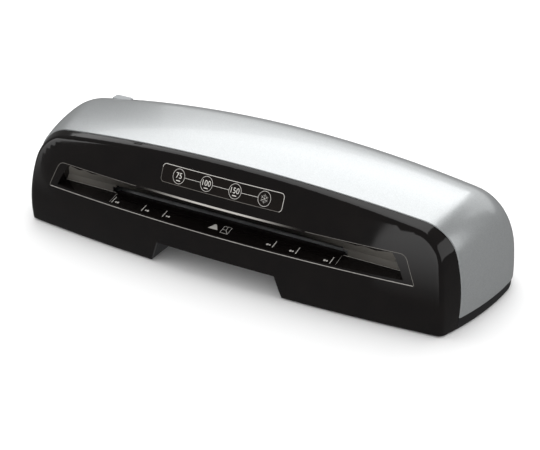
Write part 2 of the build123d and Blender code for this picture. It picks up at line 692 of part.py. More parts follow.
def ear_window():
    """Window in the left plate that the carriage's ear comes out through."""
    return block(-PLATE_OUT - 1, -FRAME_HALF + 1, EAR_Y - 4, EAR_Y + 4, EAR_Z - 2, EAR_Z + 6)


def make_frame():
    right = frame_plate()
    left = mirror(right, Plane.YZ) - ear_window()
    right = right - rod_x(IDLER_STUD_RADIUS, 0, BIG, IDLER_Y, LOWER_Z)
    for y, z in standoff_places():
        right = right - rod_x(SCREW_RADIUS + HOLE_PLAY, 0, BIG, y, z)
    save("frame_plate_right", right)
    save("frame_plate_left", left)
    rods = []
    for y, z in tie_places():
        rod = rod_x(TIE_RADIUS, -FRAME_HALF, FRAME_HALF, y, z)
        rod = rod - rod_x(SCREW_RADIUS + HOLE_PLAY, -BIG, -FRAME_HALF + 9, y, z)
        rods.append(rod - rod_x(SCREW_RADIUS + HOLE_PLAY, FRAME_HALF - 9, BIG, y, z))
    save("tie_rods", *rods)
    bushes = []
    for y in (HOT_Y, EXIT_Y):
        bush = rod_x(BUSH_RADIUS, FRAME_HALF - 1, PLATE_OUT, y, LOWER_Z)
        bush = bush + rod_x(BUSH_RADIUS + BUSH_FLANGE, FRAME_HALF - 2, FRAME_HALF, y, LOWER_Z)
        bush = bush - rod_x(SHAFT_RADIUS + RUNNING, 0, BIG, y, LOWER_Z)
        bushes.extend(both_sides(bush))
    save("shaft_bushes", *bushes)


def heater_shoe(side):
    """Aluminium shoe that the pouch slides past; side is -1 under the path and 1 over it."""
    face = NIP_Z + side * SHOE_GAP
    back = face + side * SHOE_HEIGHT
    lead = 2.5
    outline = [(SHOE_FRONT_Y, face + side * lead), (SHOE_FRONT_Y + lead, face)]
    outline += [(SHOE_REAR_Y, face), (SHOE_REAR_Y, back), (SHOE_FRONT_Y, back)]
    shoe = slab_x(outline, -FRAME_HALF, FRAME_HALF)
    y, z = shoe_screw_places()[0 if side < 0 else 1]
    for end in (-1, 1):
        near = min(end * (FRAME_HALF - 9), end * BIG)
        far = max(end * (FRAME_HALF - 9), end * BIG)
        shoe = shoe - rod_x(SCREW_RADIUS + HOLE_PLAY, near, far, y, z)
    return shoe


def make_heating():
    shoe_back = SHOE_GAP + SHOE_HEIGHT
    element_y0 = SHOE_FRONT_Y + 2
    element_y1 = SHOE_REAR_Y - 2
    save("lower_heater_shoe", heater_shoe(-1))
    save("upper_heater_shoe", heater_shoe(1))
    reach = SLEEVE_HALF
    save("lower_heating_element", block(-reach, reach, element_y0, element_y1,
                                        NIP_Z - shoe_back - ELEMENT, NIP_Z - shoe_back))
    top = NIP_Z + shoe_back + ELEMENT
    save("upper_heating_element", block(-reach, reach, element_y0, element_y1, top - ELEMENT, top))
    middle = (SHOE_FRONT_Y + SHOE_REAR_Y) / 2
    thermostat = rod_z(8, -40, middle, top, top + 2) + rod_z(6.2, -40, middle, top, top + 6)
    thermostat = thermostat + block(-52, -28, middle - 1.5, middle + 1.5, top + 3, top + 3.8)
    save("thermostat", thermostat)
    fuse = rod_x(2, 32, 46, middle, top + 2) + rod_x(0.5, 24, 54, middle, top + 2)
    save("thermal_fuse", fuse)
    z = top + 8
    shield = block(-FRAME_HALF, FRAME_HALF, FRAME_FRONT_Y, SHOE_REAR_Y + 1, z, z + 0.8)
    shield = shield + block(-FRAME_HALF, FRAME_HALF, FRAME_FRONT_Y, FRAME_FRONT_Y + 0.8,
                            NIP_Z + 8, z)
    save("heat_shield", shield)


def guide_pair(y0, y1, lead):
    """Lower and upper plastic guide of one stretch of the pouch path."""
    pair = []
    for side in (-1, 1):
        face = NIP_Z + side * 1.3
        back = face + side * 2.2
        outline = [(y0, face + side * lead), (y0 + 3, face), (y1, face), (y1, back), (y0, back)]
        pair.append(slab_x(outline, -FRAME_HALF, FRAME_HALF))
    return pair


def make_guides():
    middle = guide_pair(HOT_Y + SLEEVE_RADIUS + 3, EXIT_Y - SLEEVE_RADIUS - 3, 0.9)
    rear = guide_pair(EXIT_Y + SLEEVE_RADIUS + 3, REAR_SPLIT + 2, 0.9)
    save("pouch_guides", *middle, *rear)


# ---- gears and rollers ---------------------------------------------------------------------------------

def gear_blank(teeth, first_tooth):
    """Spur gear lying in the YZ plane at X = 0, with one tooth at the angle first_tooth."""
    pitch = MODULE * teeth / 2
    rings = [(pitch - 1.25 * MODULE, 0.33), (pitch, 0.25), (pitch + 0.95 * MODULE, 0.115)]
    step = 2 * pi / teeth
    points = []
    for tooth in range(teeth):
        middle = first_tooth + tooth * step
        rising = []
        for radius, share in rings:
            half = share * step - BACKLASH / radius
            rising.append((radius, middle - half, middle + half))
        for radius, start, end in rising:
            points.append((radius * cos(start), radius * sin(start)))
        for radius, start, end in reversed(rising):
            points.append((radius * cos(end), radius * sin(end)))
    return slab_x(points, 0, GEAR_WIDTH)


def mesh_angle(first_tooth, teeth, direction, other_teeth):
    """First-tooth angle of a gear that meshes in the given direction from this one."""
    share = (first_tooth - direction) / (2 * pi / teeth)
    return direction + pi + (2 * pi / other_teeth) * (0.5 - share)


def gear_at(teeth, first_tooth, y, z, bore):
    gear = gear_blank(teeth, first_tooth).moved(Location((GEAR_X, y, z)))
    hub = rod_x(bore + 2.5, GEAR_END, GEAR_END + GEAR_HUB, y, z)
    return (gear + hub) - rod_x(bore, 0, BIG, y, z)


def e_clip(y, z):
    """Open spring clip near the shaft's left end."""
    x0 = -PLATE_OUT - CLIP_INSET
    ring = rod_x(SHAFT_RADIUS + 2.4, x0, x0 + CLIP_THICKNESS, y, z)
    ring = ring - rod_x(SHAFT_RADIUS - 0.7, x0 - 1, x0 + 2, y, z)
    return ring - block(x0 - 1, x0 + 2, y - 1.6, y + 1.6, z - 20, z)


def make_roller(name, y, z, first_tooth):
    """Steel shaft with a silicone sleeve, a gear and a retaining clip."""
    shaft = rod_x(SHAFT_RADIUS, -PLATE_OUT - 4, GEAR_END + GEAR_HUB, y, z)
    x0 = -PLATE_OUT - CLIP_INSET
    x1 = x0 + CLIP_THICKNESS
    groove = rod_x(SHAFT_RADIUS + 1, x0, x1, y, z) - rod_x(SHAFT_RADIUS - 0.7, x0, x1, y, z)
    save(f"{name}_shaft", shaft - groove)
    sleeve = rod_x(SLEEVE_RADIUS, -SLEEVE_HALF, SLEEVE_HALF, y, z)
    save(f"{name}_sleeve", sleeve - rod_x(SHAFT_RADIUS, -BIG, BIG, y, z))
    save(f"{name}_gear", gear_at(ROLLER_TEETH, first_tooth, y, z, SHAFT_RADIUS))
    save(f"{name}_clip", e_clip(y, z))


def make_gear_train():
    up = pi / 2
    hot = up
    hot_above = mesh_angle(hot, ROLLER_TEETH, up, ROLLER_TEETH)
    idler = mesh_angle(hot, ROLLER_TEETH, 0, ROLLER_TEETH)
    cool = mesh_angle(idler, ROLLER_TEETH, 0, ROLLER_TEETH)
    cool_above = mesh_angle(cool, ROLLER_TEETH, up, ROLLER_TEETH)
    pinion = mesh_angle(hot, ROLLER_TEETH, pi, PINION_TEETH)
    make_roller("lower_hot", HOT_Y, LOWER_Z, hot)
    make_roller("upper_hot", HOT_Y, UPPER_Z, hot_above)
    make_roller("lower_exit", EXIT_Y, LOWER_Z, cool)
    make_roller("upper_exit", EXIT_Y, UPPER_Z, cool_above)
    bore = IDLER_STUD_RADIUS + RUNNING
    save("idler_gear", gear_at(ROLLER_TEETH, idler, IDLER_Y, LOWER_Z, bore))
    stud = rod_x(IDLER_STUD_RADIUS, FRAME_HALF, GEAR_END + 3, IDLER_Y, LOWER_Z)
    stud = stud + rod_x(IDLER_STUD_RADIUS + 2, GEAR_END + 2, GEAR_END + 3.5, IDLER_Y, LOWER_Z)
    save("idler_stud", stud)
    shaft = MOTOR_SHAFT_RADIUS
    gear = gear_at(PINION_TEETH, pinion, PINION_Y, LOWER_Z, shaft)
    save("motor_pinion", gear + rod_x(shaft, GEAR_X, MOTOR_PLATE_X + PLATE + 8, PINION_Y, LOWER_Z))


def standoff_places():
    """(y, z) of the posts between the right frame plate and the motor plate."""
    return [(PINION_Y - 14, LOWER_Z + 22), (PINION_Y - 14, LOWER_Z - 20), (PINION_Y + 20, LOWER_Z - 20)]


def make_motor():
    x0 = MOTOR_PLATE_X
    y = PINION_Y
    z = LOWER_Z
    plate = block(x0, x0 + PLATE, y - 17.5, y + 24, z - 25, z + 27)
    plate = plate - rod_x(5, 0, BIG, y, z)
    posts = []
    for py, pz in standoff_places():
        plate = plate - rod_x(SCREW_RADIUS + HOLE_PLAY, 0, BIG, py, pz)
        posts.append(rod_x(STANDOFF_RADIUS, PLATE_OUT, x0, py, pz))
    save("motor_plate", plate)
    save("motor_standoffs", *posts)
    x1 = x0 + PLATE
    can = rod_x(MOTOR_RADIUS, x1, x1 + MOTOR_LENGTH, y, z)
    can = fillet(can.edges().group_by(Axis.X)[-1], 2)
    boss = rod_x(4.8, x1 - 1.2, x1, y, z)
    motor = (can + boss) - rod_x(MOTOR_SHAFT_RADIUS + RUNNING, 0, x1 + 10, y, z)
    save("drive_motor", motor)


# ---- carriage of the upper rollers, its springs and the release lever -------------------------------------

def carriage_plate():
    """Right-hand carriage plate with its shelf turned in at the top."""
    y0 = HOT_Y - 11
    y1 = EXIT_Y + 11
    z0 = UPPER_Z - BUSH_RADIUS - 1
    body = block(CARRIAGE_IN, CARRIAGE_OUT, y0, y1, z0, CARRIAGE_SHELF_Z)
    shelf = block(CARRIAGE_OUT - FLANGE, CARRIAGE_OUT, y0 + 4, y1 - 4,
                  CARRIAGE_SHELF_Z, CARRIAGE_SHELF_Z + PLATE)
    body = body + shelf
    for y in (HOT_Y, EXIT_Y):
        body = body - rod_x(BUSH_RADIUS, 0, BIG, y, UPPER_Z)
    return body


def spring_places():
    return [(x, y) for x in (-SPRING_X, SPRING_X) for y in (HOT_Y + 9, EXIT_Y - 9)]


def make_spring(x, y):
    """Compression spring between the carriage shelf and the frame's top flange."""
    z0 = CARRIAGE_SHELF_Z + PLATE + SPRING_WIRE
    z1 = FRAME_TOP - PLATE - SPRING_WIRE
    height = z1 - z0
    path = Helix(height / SPRING_TURNS, height, SPRING_RADIUS)
    start = path @ 0
    section = Plane(origin=start, z_dir=path % 0) * Circle(SPRING_WIRE)
    return sweep(section, path, is_frenet=True).moved(Location((x, y, z0)))


def ramp_top(x):
    """Height of the lever's ramp at rest, which falls towards the frame."""
    return EAR_Z - 0.3 - (x - EAR_X0) * CARRIAGE_LIFT / LEVER_TRAVEL


def make_carriage():
    right = carriage_plate()
    left = mirror(right, Plane.YZ)
    arm = block(-CARRIAGE_OUT, -CARRIAGE_IN, EXIT_Y + 8, EAR_Y + 3, EAR_Z - 8, EAR_Z + PLATE)
    ear = block(EAR_X0, -CARRIAGE_IN, EAR_Y - 3, EAR_Y + 3, EAR_Z, EAR_Z + PLATE)
    save("carriage_plate_right", right)
    save("carriage_plate_left", left + arm + ear)
    bar_z = CARRIAGE_SHELF_Z + PLATE
    bar = block(-CARRIAGE_OUT, CARRIAGE_OUT, IDLER_Y - 6, IDLER_Y + 6, bar_z, bar_z + 2)
    save("carriage_bar", bar)
    bushes = []
    for y in (HOT_Y, EXIT_Y):
        bush = rod_x(BUSH_RADIUS, CARRIAGE_IN, CARRIAGE_OUT, y, UPPER_Z)
        bush = bush + rod_x(BUSH_RADIUS + 1, CARRIAGE_IN - 1.5, CARRIAGE_IN, y, UPPER_Z)
        bush = bush - rod_x(SHAFT_RADIUS + RUNNING, 0, BIG, y, UPPER_Z)
        bushes.extend(both_sides(bush))
    save("carriage_bushes", *bushes)
    save("pressure_springs", *[make_spring(x, y) for x, y in spring_places()])


def cover_height(x, y):
    """Outer skin of the cover over a point on its arch."""
    drop = BACK_RADIUS - sqrt(BACK_RADIUS ** 2 - (y - DOME_Y) ** 2)
    radius = CROWN_RADIUS - drop
    return HEIGHT - CROWN_RADIUS + sqrt(radius ** 2 - x ** 2)


def make_lever():
    """Release lever: a finger tab on a stem, over a slide whose ramp lifts the carriage's ear."""
    top = cover_height(LEVER_X, LEVER_Y) + TAB_PROUD
    half = TAB_LENGTH / 2
    tab = block(LEVER_X - half, LEVER_X + half, LEVER_Y - TAB_WIDTH / 2, LEVER_Y + TAB_WIDTH / 2,
                top - 9, top)
    tab = fillet(tab.edges().filter_by(Axis.Z), 2)
    tab = fillet(tab.edges().group_by(Axis.Z)[-1], 1)
    stem = block(LEVER_X - 5, LEVER_X + 5, LEVER_Y - 2, LEVER_Y + 2, SLIDE_LOW, top - 8)
    x0 = LEVER_X - half
    foot = block(x0, LEVER_X + 7, LEVER_Y - 4, EAR_Y - 4, SLIDE_LOW, SLIDE_LOW + 3)
    rear_y = SLIDE_REAR_Y
    corners = [(x0, SLIDE_LOW), (x0, ramp_top(EAR_X0 - LEVER_TRAVEL))]
    corners += [(EAR_X0 - LEVER_TRAVEL, ramp_top(EAR_X0 - LEVER_TRAVEL)), (EAR_X0, ramp_top(EAR_X0))]
    corners += [(EAR_X0 + 2, ramp_top(EAR_X0 + 2)), (EAR_X0 + 2, SLIDE_LOW)]
    ramp = slab_y(corners, EAR_Y - 5, rear_y)
    save("release_lever", (tab + stem + foot + ramp).solid())
    z1 = SLIDE_LOW - SEAM
    rail_x = LEVER_X + 7 + LEVER_TRAVEL
    bracket = block(x0 - 2, rail_x, LEVER_Y - 6, FRAME_REAR_Y, z1 - 2.5, z1)
    bracket = bracket + block(rail_x, -PLATE_OUT, EAR_Y - 5, FRAME_REAR_Y, z1 - 2.5, z1)
    bracket = bracket + block(-PLATE_OUT - 2.5, -PLATE_OUT, EAR_Y - 5, FRAME_REAR_Y, z1 - 14, z1)
    save("lever_bracket", bracket)


# ---- electronics ----------------------------------------------------------------------------------------

def window_plane(depth):
    """Plane behind the middle of the control window, this deep under the fascia's skin."""
    z = (WINDOW_LOW + WINDOW_TOP) / 2
    reach = NOSE_RADIUS - STEP_IN - depth
    rise = z - NOSE_Z
    centre_y = FRONT_Y + NOSE_RADIUS
    run = sqrt(NOSE_RADIUS ** 2 - rise ** 2)
    out = Vector(0, -run, rise).normalized()
    origin = Vector(0, centre_y, NOSE_Z) + out * reach
    return Plane(origin=origin, x_dir=(1, 0, 0), z_dir=out)


def make_electronics():
    deep = window_plane(FASCIA_WALL + 4.0)
    height = 18.0
    board = Box(2 * WINDOW_HALF, height, BOARD).moved(Location((0, 0, -BOARD / 2)))
    save("control_board", deep.location * board)
    lights = []
    for i in range(KEYS):
        x = (i - (KEYS - 1) / 2) * KEY_PITCH
        lights.append(deep.location * Cylinder(1.5, 2.4).moved(Location((x, 0, 1.2))))
    save("indicator_lights", *lights)
    top = POWER_Z + BOARD
    power = block(POWER_X0, POWER_X1, POWER_Y0, POWER_Y1, POWER_Z, top)
    for x in POWER_HOLES_X:
        for y in POWER_HOLES_Y:
            power = power - rod_z(SCREW_RADIUS + HOLE_PLAY, x, y, 0, BIG)
    save("power_board", power)
    x0 = POWER_X0
    y0 = POWER_Y0
    core = block(x0 + 6, x0 + 34, y0 + 12, y0 + 38, top, top + 22)
    winding = block(x0 + 8, x0 + 32, y0 + 8, y0 + 42, top + 5, top + 17)
    save("transformer", core + winding)
    save("relay", block(x0 + 6, x0 + 25, y0 + 46, y0 + 61, top, top + 15))
    save("terminal_block", block(x0 + 28, x0 + 37, y0 + 44, y0 + 60, top, top + 10))


def make_rear_fittings():
    half_w = ROCKER_WIDTH / 2
    half_h = ROCKER_HEIGHT / 2
    front = REAR_Y - 0.4
    bezel = block(SWITCH_X - 9.5, SWITCH_X + 9.5, REAR_PANEL_Y, front - 0.2,
                  SWITCH_Z - 12.5, SWITCH_Z + 12.5)
    bezel = bezel + block(SWITCH_X - 7.5, SWITCH_X + 7.5, REAR_PANEL_Y - 16, REAR_PANEL_Y,
                          SWITCH_Z - 10.5, SWITCH_Z + 10.5)
    well = block(SWITCH_X - half_w - SEAM, SWITCH_X + half_w + SEAM, REAR_PANEL_Y - 9, REAR_Y + 5,
                 SWITCH_Z - half_h - SEAM, SWITCH_Z + half_h + SEAM)
    save("switch_body", bezel - well)
    pivot_y = REAR_PANEL_Y - 3.0
    rocker = block(-half_w, half_w, -3.4, 2.9, -half_h + 0.6, half_h - 0.6)
    rocker = fillet(rocker.edges().filter_by(Axis.X), 1.0)
    rocker = rocker.rotate(Axis.X, ROCKER_TILT).moved(Location((SWITCH_X, pivot_y, SWITCH_Z)))
    save("power_rocker", rocker)
    gland = rod_y(GLAND_RADIUS + 2.5, GLAND_X, REAR_PANEL_Y, front - 0.2, GLAND_Z)
    gland = gland + rod_y(GLAND_RADIUS, GLAND_X, REAR_PANEL_Y - 10, REAR_PANEL_Y, GLAND_Z)
    save("cord_gland", gland - rod_y(CORD_BORE, GLAND_X, 0, BIG, GLAND_Z))
    feet = []
    for x, y in foot_places():
        foot = rod_z(FOOT_RADIUS, x, y, 0, FOOT_HEIGHT)
        feet.append(fillet(foot.edges().group_by(Axis.Z)[0], 0.6))
    save("rubber_feet", *feet)


def main():
    os.makedirs("parts", exist_ok=True)
    outer = form(0)
    skin = form(STEP_IN)
    inner = form(WALL)
    far_inner = form(STEP_IN + FASCIA_WALL)
    make_fascia(skin, far_inner)
    make_cover(outer, inner, skin)
    make_rear_cover(skin, far_inner)
    make_base(skin, far_inner)
    make_fasteners()
    make_frame()
    make_heating()
    make_guides()
    make_gear_train()
    make_motor()
    make_carriage()
    make_lever()
    make_electronics()
    make_rear_fittings()
    print(len(made), "sub-parts")


main()
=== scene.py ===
import json
from math import atan2, cos, pi, radians, sin, sqrt

import bmesh
import bpy
from mathutils import Matrix, Vector


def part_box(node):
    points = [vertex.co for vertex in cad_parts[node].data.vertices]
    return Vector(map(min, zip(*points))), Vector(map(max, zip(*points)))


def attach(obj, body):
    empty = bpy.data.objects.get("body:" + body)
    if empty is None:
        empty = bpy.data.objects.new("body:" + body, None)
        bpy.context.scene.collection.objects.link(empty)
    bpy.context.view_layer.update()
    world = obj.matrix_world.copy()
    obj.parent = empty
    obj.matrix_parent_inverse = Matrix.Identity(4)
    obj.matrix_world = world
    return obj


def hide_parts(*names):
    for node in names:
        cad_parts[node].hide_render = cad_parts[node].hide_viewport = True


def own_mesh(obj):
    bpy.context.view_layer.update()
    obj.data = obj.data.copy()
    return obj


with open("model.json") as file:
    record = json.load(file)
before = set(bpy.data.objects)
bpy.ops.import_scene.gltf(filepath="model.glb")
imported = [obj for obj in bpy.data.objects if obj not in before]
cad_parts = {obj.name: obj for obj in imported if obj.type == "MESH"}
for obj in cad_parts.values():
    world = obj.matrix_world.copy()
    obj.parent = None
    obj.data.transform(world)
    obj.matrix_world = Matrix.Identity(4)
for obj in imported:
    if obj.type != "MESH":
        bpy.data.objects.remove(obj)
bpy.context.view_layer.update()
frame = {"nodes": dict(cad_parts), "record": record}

bl_info = {
    "name": "Pouch laminator",
    "version": (1, 0, 0),
    "blender": (4, 5, 0),
    "location": "3D View > Sidebar > Laminator",
    "description": "Finishes the pouch laminator: moulded casings, printed marks, fittings and studio",
    "category": "Object",
}

MM = 0.001
SLOT_OF = {row["node"]: row["material_slot"] for row in frame["record"]["subparts"]}
BODY_OF = {node: body for body, nodes in frame["record"]["behaviour"]["bodies"].items() for node in nodes}

# The fascia's face, in millimetres: a belly seen from the side, carried round a bow seen from above.
WINDOW_BOX = [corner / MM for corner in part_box("control_window")]
TRAY_BOX = [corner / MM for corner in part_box("entry_tray")]
FRONT_Y = -71.8
NOSE_RADIUS = 146.0
NOSE_Z = 19.0
BOW_RADIUS = 1700.0
FACE_INSET = 0.8
LIP_Z = 41.5
BROW_Z = 63.5
LEDGE_BACK_Z = 46.0
MOUTH_BACK_Y = -51.0
TRAY_DROP = 0.9
MOUTH_HALF = 172.5
MOUTH_END = [(173.2, 41.3), (172.2, 44.0), (165.9, 58.0), (164.6, 60.6), (162.8, 62.6), (160.2, 63.8),
             (157.0, 64.0), (80.0, 64.0)]
KEY_PITCH = 26.8
TRAY_X = (TRAY_BOX[0].x + TRAY_BOX[1].x) / 2


def fascia_y(x, z, lift=0.0):
    """Y of the fascia's face, raised by lift, in millimetres."""
    radius = NOSE_RADIUS - FACE_INSET + lift
    y_middle = FRONT_Y + NOSE_RADIUS - sqrt(radius ** 2 - (z - NOSE_Z) ** 2)
    reach = FRONT_Y + BOW_RADIUS - y_middle
    return FRONT_Y + BOW_RADIUS - sqrt(reach ** 2 - x ** 2)


def tray_z(y, lift=0.0):
    """Height of the sloping tray, raised by lift, in millimetres."""
    share = (y - FRONT_Y) / (MOUTH_BACK_Y - FRONT_Y)
    return LIP_Z + share * (LEDGE_BACK_Z - LIP_Z) - TRAY_DROP + lift


# ---- settings that a user would change ------------------------------------------------------

class LaminatorPrints(bpy.types.PropertyGroup):
    key_radius: bpy.props.FloatProperty(
        name="Key ring radius", description="Radius of the ring round each touch key",
        default=5.6, min=2.0, max=8.0, unit="LENGTH", subtype="DISTANCE")
    key_line: bpy.props.FloatProperty(
        name="Key line width", description="Width of the printed rings and joining lines",
        default=0.3, min=0.1, max=2.0, unit="LENGTH", subtype="DISTANCE")
    numeral_height: bpy.props.FloatProperty(
        name="Numeral height", description="Height of the film thickness numerals",
        default=4.3, min=1.0, max=8.0, unit="LENGTH", subtype="DISTANCE")
    outline_width: bpy.props.FloatProperty(
        name="Window outline", description="Width of the line printed round the control window",
        default=0.42, min=0.1, max=2.0, unit="LENGTH", subtype="DISTANCE")
    mark_width: bpy.props.FloatProperty(
        name="Size mark width", description="Width of the pouch size marks on the tray",
        default=0.45, min=0.1, max=2.0, unit="LENGTH", subtype="DISTANCE")
    print_thickness: bpy.props.FloatProperty(
        name="Print thickness", description="How far the printed ink stands over the surface",
        default=0.03, min=0.005, max=0.2, unit="LENGTH", subtype="DISTANCE")


class LaminatorFittings(bpy.types.PropertyGroup):
    screw_radius: bpy.props.FloatProperty(
        name="Screw radius", description="Outer radius of the screw threads",
        default=1.4, min=0.5, max=3.0, unit="LENGTH", subtype="DISTANCE")
    head_radius: bpy.props.FloatProperty(
        name="Head radius", description="Radius of the pan heads",
        default=2.9, min=1.0, max=6.0, unit="LENGTH", subtype="DISTANCE")
    head_height: bpy.props.FloatProperty(
        name="Head height", description="Height of the pan heads",
        default=1.6, min=0.5, max=3.0, unit="LENGTH", subtype="DISTANCE")
    thread_pitch: bpy.props.FloatProperty(
        name="Thread pitch", description="Distance from one turn of the thread to the next",
        default=1.1, min=0.3, max=3.0, unit="LENGTH", subtype="DISTANCE")
    spring_turns: bpy.props.FloatProperty(
        name="Spring turns", description="Number of turns of each pressure spring",
        default=4.5, min=2.0, max=12.0)
    spring_wire: bpy.props.FloatProperty(
        name="Spring wire radius", description="Radius of the pressure springs' wire",
        default=0.6, min=0.2, max=1.5, unit="LENGTH", subtype="DISTANCE")
    grip_ribs: bpy.props.IntProperty(
        name="Grip ribs", description="Number of ribs on the release tab",
        default=5, min=1, max=9)


class LaminatorColours(bpy.types.PropertyGroup):
    cover: bpy.props.StringProperty(
        name="Cover", description="sRGB hex colour of the silver cover", default="#C6C9CA")
    fascia: bpy.props.StringProperty(
        name="Fascia", description="sRGB hex colour of the gloss black fascia", default="#0B0909")
    base: bpy.props.StringProperty(
        name="Base", description="sRGB hex colour of the matt black mouldings", default="#17171A")
    ink: bpy.props.StringProperty(
        name="Ink", description="sRGB hex colour of the printed marks", default="#D6D3CE")


class LaminatorStudio(bpy.types.PropertyGroup):
    overhead: bpy.props.FloatProperty(
        name="Overhead light", description="Strength of the soft light above", default=13.0, unit="POWER")
    rear: bpy.props.FloatProperty(
        name="Rear light", description="Strength of the soft light behind", default=5.0, unit="POWER")
    side: bpy.props.FloatProperty(
        name="Side cards", description="Strength of the two cards beside the camera",
        default=8.5, unit="POWER")
    lens: bpy.props.FloatProperty(
        name="Lens", description="Focal length of the camera in millimetres", default=88.7)


# ---- helpers ----------------------------------------------------------------------------------

def linear(text):
    """Linear colour of an sRGB hex value."""
    channels = [int(text[i:i + 2], 16) / 255 for i in (1, 3, 5)]
    return [c / 12.92 if c <= 0.04045 else ((c + 0.055) / 1.055) ** 2.4 for c in channels] + [1.0]


def add(tree, kind, values=None, links=None, **settings):
    """One node of a tree: its settings, its sockets' values and what feeds them."""
    node = tree.nodes.new(kind)
    for key, value in settings.items():
        setattr(node, key, value)
    for key, value in (values or {}).items():
        node.inputs[key].default_value = value
    for key, source in (links or {}).items():
        tree.links.new(source, node.inputs[key])
    return node


def new_material(name):
    material = bpy.data.materials.new(name)
    material.use_nodes = True
    tree = material.node_tree
    tree.nodes.clear()
    shader = add(tree, "ShaderNodeBsdfPrincipled")
    add(tree, "ShaderNodeOutputMaterial", links={"Surface": shader.outputs[0]})
    return material, tree, shader


def grained(name, dark, light, rough, grain_mm, relief_mm, metallic=0.0, stretch=(1, 1, 1),
            specular=0.5, coat=0.0, ior=1.5, detail=3.0, clear=0.0):
    """A surface whose colour, gloss and relief all follow one grain of a real size."""
    material, tree, shader = new_material(name)
    place = add(tree, "ShaderNodeTexCoord")
    turn = add(tree, "ShaderNodeMapping", {"Scale": stretch}, {"Vector": place.outputs["Object"]})
    grain = add(tree, "ShaderNodeTexNoise", {"Scale": 1 / (grain_mm * MM), "Detail": detail},
                {"Vector": turn.outputs[0]})
    cloud = add(tree, "ShaderNodeTexNoise", {"Scale": 1 / (60 * MM), "Detail": 2.0},
                {"Vector": place.outputs["Object"]})
    both = add(tree, "ShaderNodeMix", {"Factor": 0.3},
               {"A": grain.outputs["Fac"], "B": cloud.outputs["Fac"]}, data_type="FLOAT")
    ramp = add(tree, "ShaderNodeValToRGB", links={"Fac": both.outputs["Result"]})
    ramp.color_ramp.elements[0].position = 0.3
    ramp.color_ramp.elements[0].color = linear(dark)
    ramp.color_ramp.elements[1].position = 0.7
    ramp.color_ramp.elements[1].color = linear(light)
    gloss = add(tree, "ShaderNodeMapRange", {"From Min": 0.3, "From Max": 0.7, "To Min": rough[0],
                "To Max": rough[1]}, {"Value": both.outputs["Result"]})
    relief = add(tree, "ShaderNodeBump", {"Strength": 1.0, "Distance": relief_mm * MM},
                 {"Height": grain.outputs["Fac"]})
    tree.links.new(ramp.outputs["Color"], shader.inputs["Base Color"])
    tree.links.new(gloss.outputs["Result"], shader.inputs["Roughness"])
    tree.links.new(relief.outputs["Normal"], shader.inputs["Normal"])
    shader.inputs["Metallic"].default_value = metallic
    shader.inputs["Coat Weight"].default_value = coat
    shader.inputs["Coat Roughness"].default_value = 0.05
    shader.inputs["Transmission Weight"].default_value = clear
    if not metallic:
        shader.inputs["IOR"].default_value = ior
        shader.inputs["Specular IOR Level"].default_value = specular
    return material


def silver_lacquer(colour):
    """Silver lacquer on ABS: fine metal flakes under a satin top coat, so it brightens in a broad soft band."""
    material, tree, shader = new_material("satin_silver_lacquer")
    place = add(tree, "ShaderNodeTexCoord")
    # flakes of 0.05 mm are too fine to show, so they are drawn 0.4 mm across
    flake = add(tree, "ShaderNodeTexVoronoi", {"Scale": 1 / (0.4 * MM)}, {"Vector": place.outputs["Object"]})
    peel = add(tree, "ShaderNodeTexNoise", {"Scale": 1 / (1.5 * MM), "Detail": 1.0},
               {"Vector": place.outputs["Object"]})
    ramp = add(tree, "ShaderNodeValToRGB", links={"Fac": flake.outputs["Color"]})
    base = linear(colour)
    ramp.color_ramp.elements[0].color = [c * 0.86 for c in base[:3]] + [1]
    ramp.color_ramp.elements[1].color = [min(1, c * 1.1) for c in base[:3]] + [1]
    gloss = add(tree, "ShaderNodeMapRange", {"To Min": 0.27, "To Max": 0.33}, {"Value": peel.outputs["Fac"]})
    relief = add(tree, "ShaderNodeBump", {"Strength": 1.0, "Distance": 0.002 * MM},
                 {"Height": peel.outputs["Fac"]})
    tree.links.new(ramp.outputs["Color"], shader.inputs["Base Color"])
    tree.links.new(gloss.outputs["Result"], shader.inputs["Roughness"])
    tree.links.new(relief.outputs["Normal"], shader.inputs["Normal"])
    shader.inputs["Metallic"].default_value = 0.75
    shader.inputs["Coat Weight"].default_value = 0.4
    shader.inputs["Coat Roughness"].default_value = 0.06
    return material


def fading(name, middle, ends, start_mm, end_mm, rough):
    """A surface whose colour changes from the middle of the machine towards its ends: painted light that fades
    along the machine.
    """
    material, tree, shader = new_material(name)
    place = add(tree, "ShaderNodeTexCoord")
    apart = add(tree, "ShaderNodeSeparateXYZ", links={0: place.outputs["Object"]})
    away = add(tree, "ShaderNodeMath", links={0: apart.outputs["X"]}, operation="ABSOLUTE")
    share = add(tree, "ShaderNodeMapRange", {"From Min": start_mm * MM, "From Max": end_mm * MM},
                {"Value": away.outputs[0]}, interpolation_type="SMOOTHSTEP")
    ramp = add(tree, "ShaderNodeValToRGB", links={"Fac": share.outputs["Result"]})
    ramp.color_ramp.elements[0].color = linear(middle)
    ramp.color_ramp.elements[1].color = linear(ends)
    grain = add(tree, "ShaderNodeTexNoise", {"Scale": 1 / (1.5 * MM)}, {"Vector": place.outputs["Object"]})
    gloss = add(tree, "ShaderNodeMapRange", {"To Min": rough[0], "To Max": rough[1]},
                {"Value": grain.outputs["Fac"]})
    relief = add(tree, "ShaderNodeBump", {"Distance": 0.005 * MM}, {"Height": grain.outputs["Fac"]})
    tree.links.new(ramp.outputs["Color"], shader.inputs["Base Color"])
    tree.links.new(gloss.outputs["Result"], shader.inputs["Roughness"])
    tree.links.new(relief.outputs["Normal"], shader.inputs["Normal"])
    return material


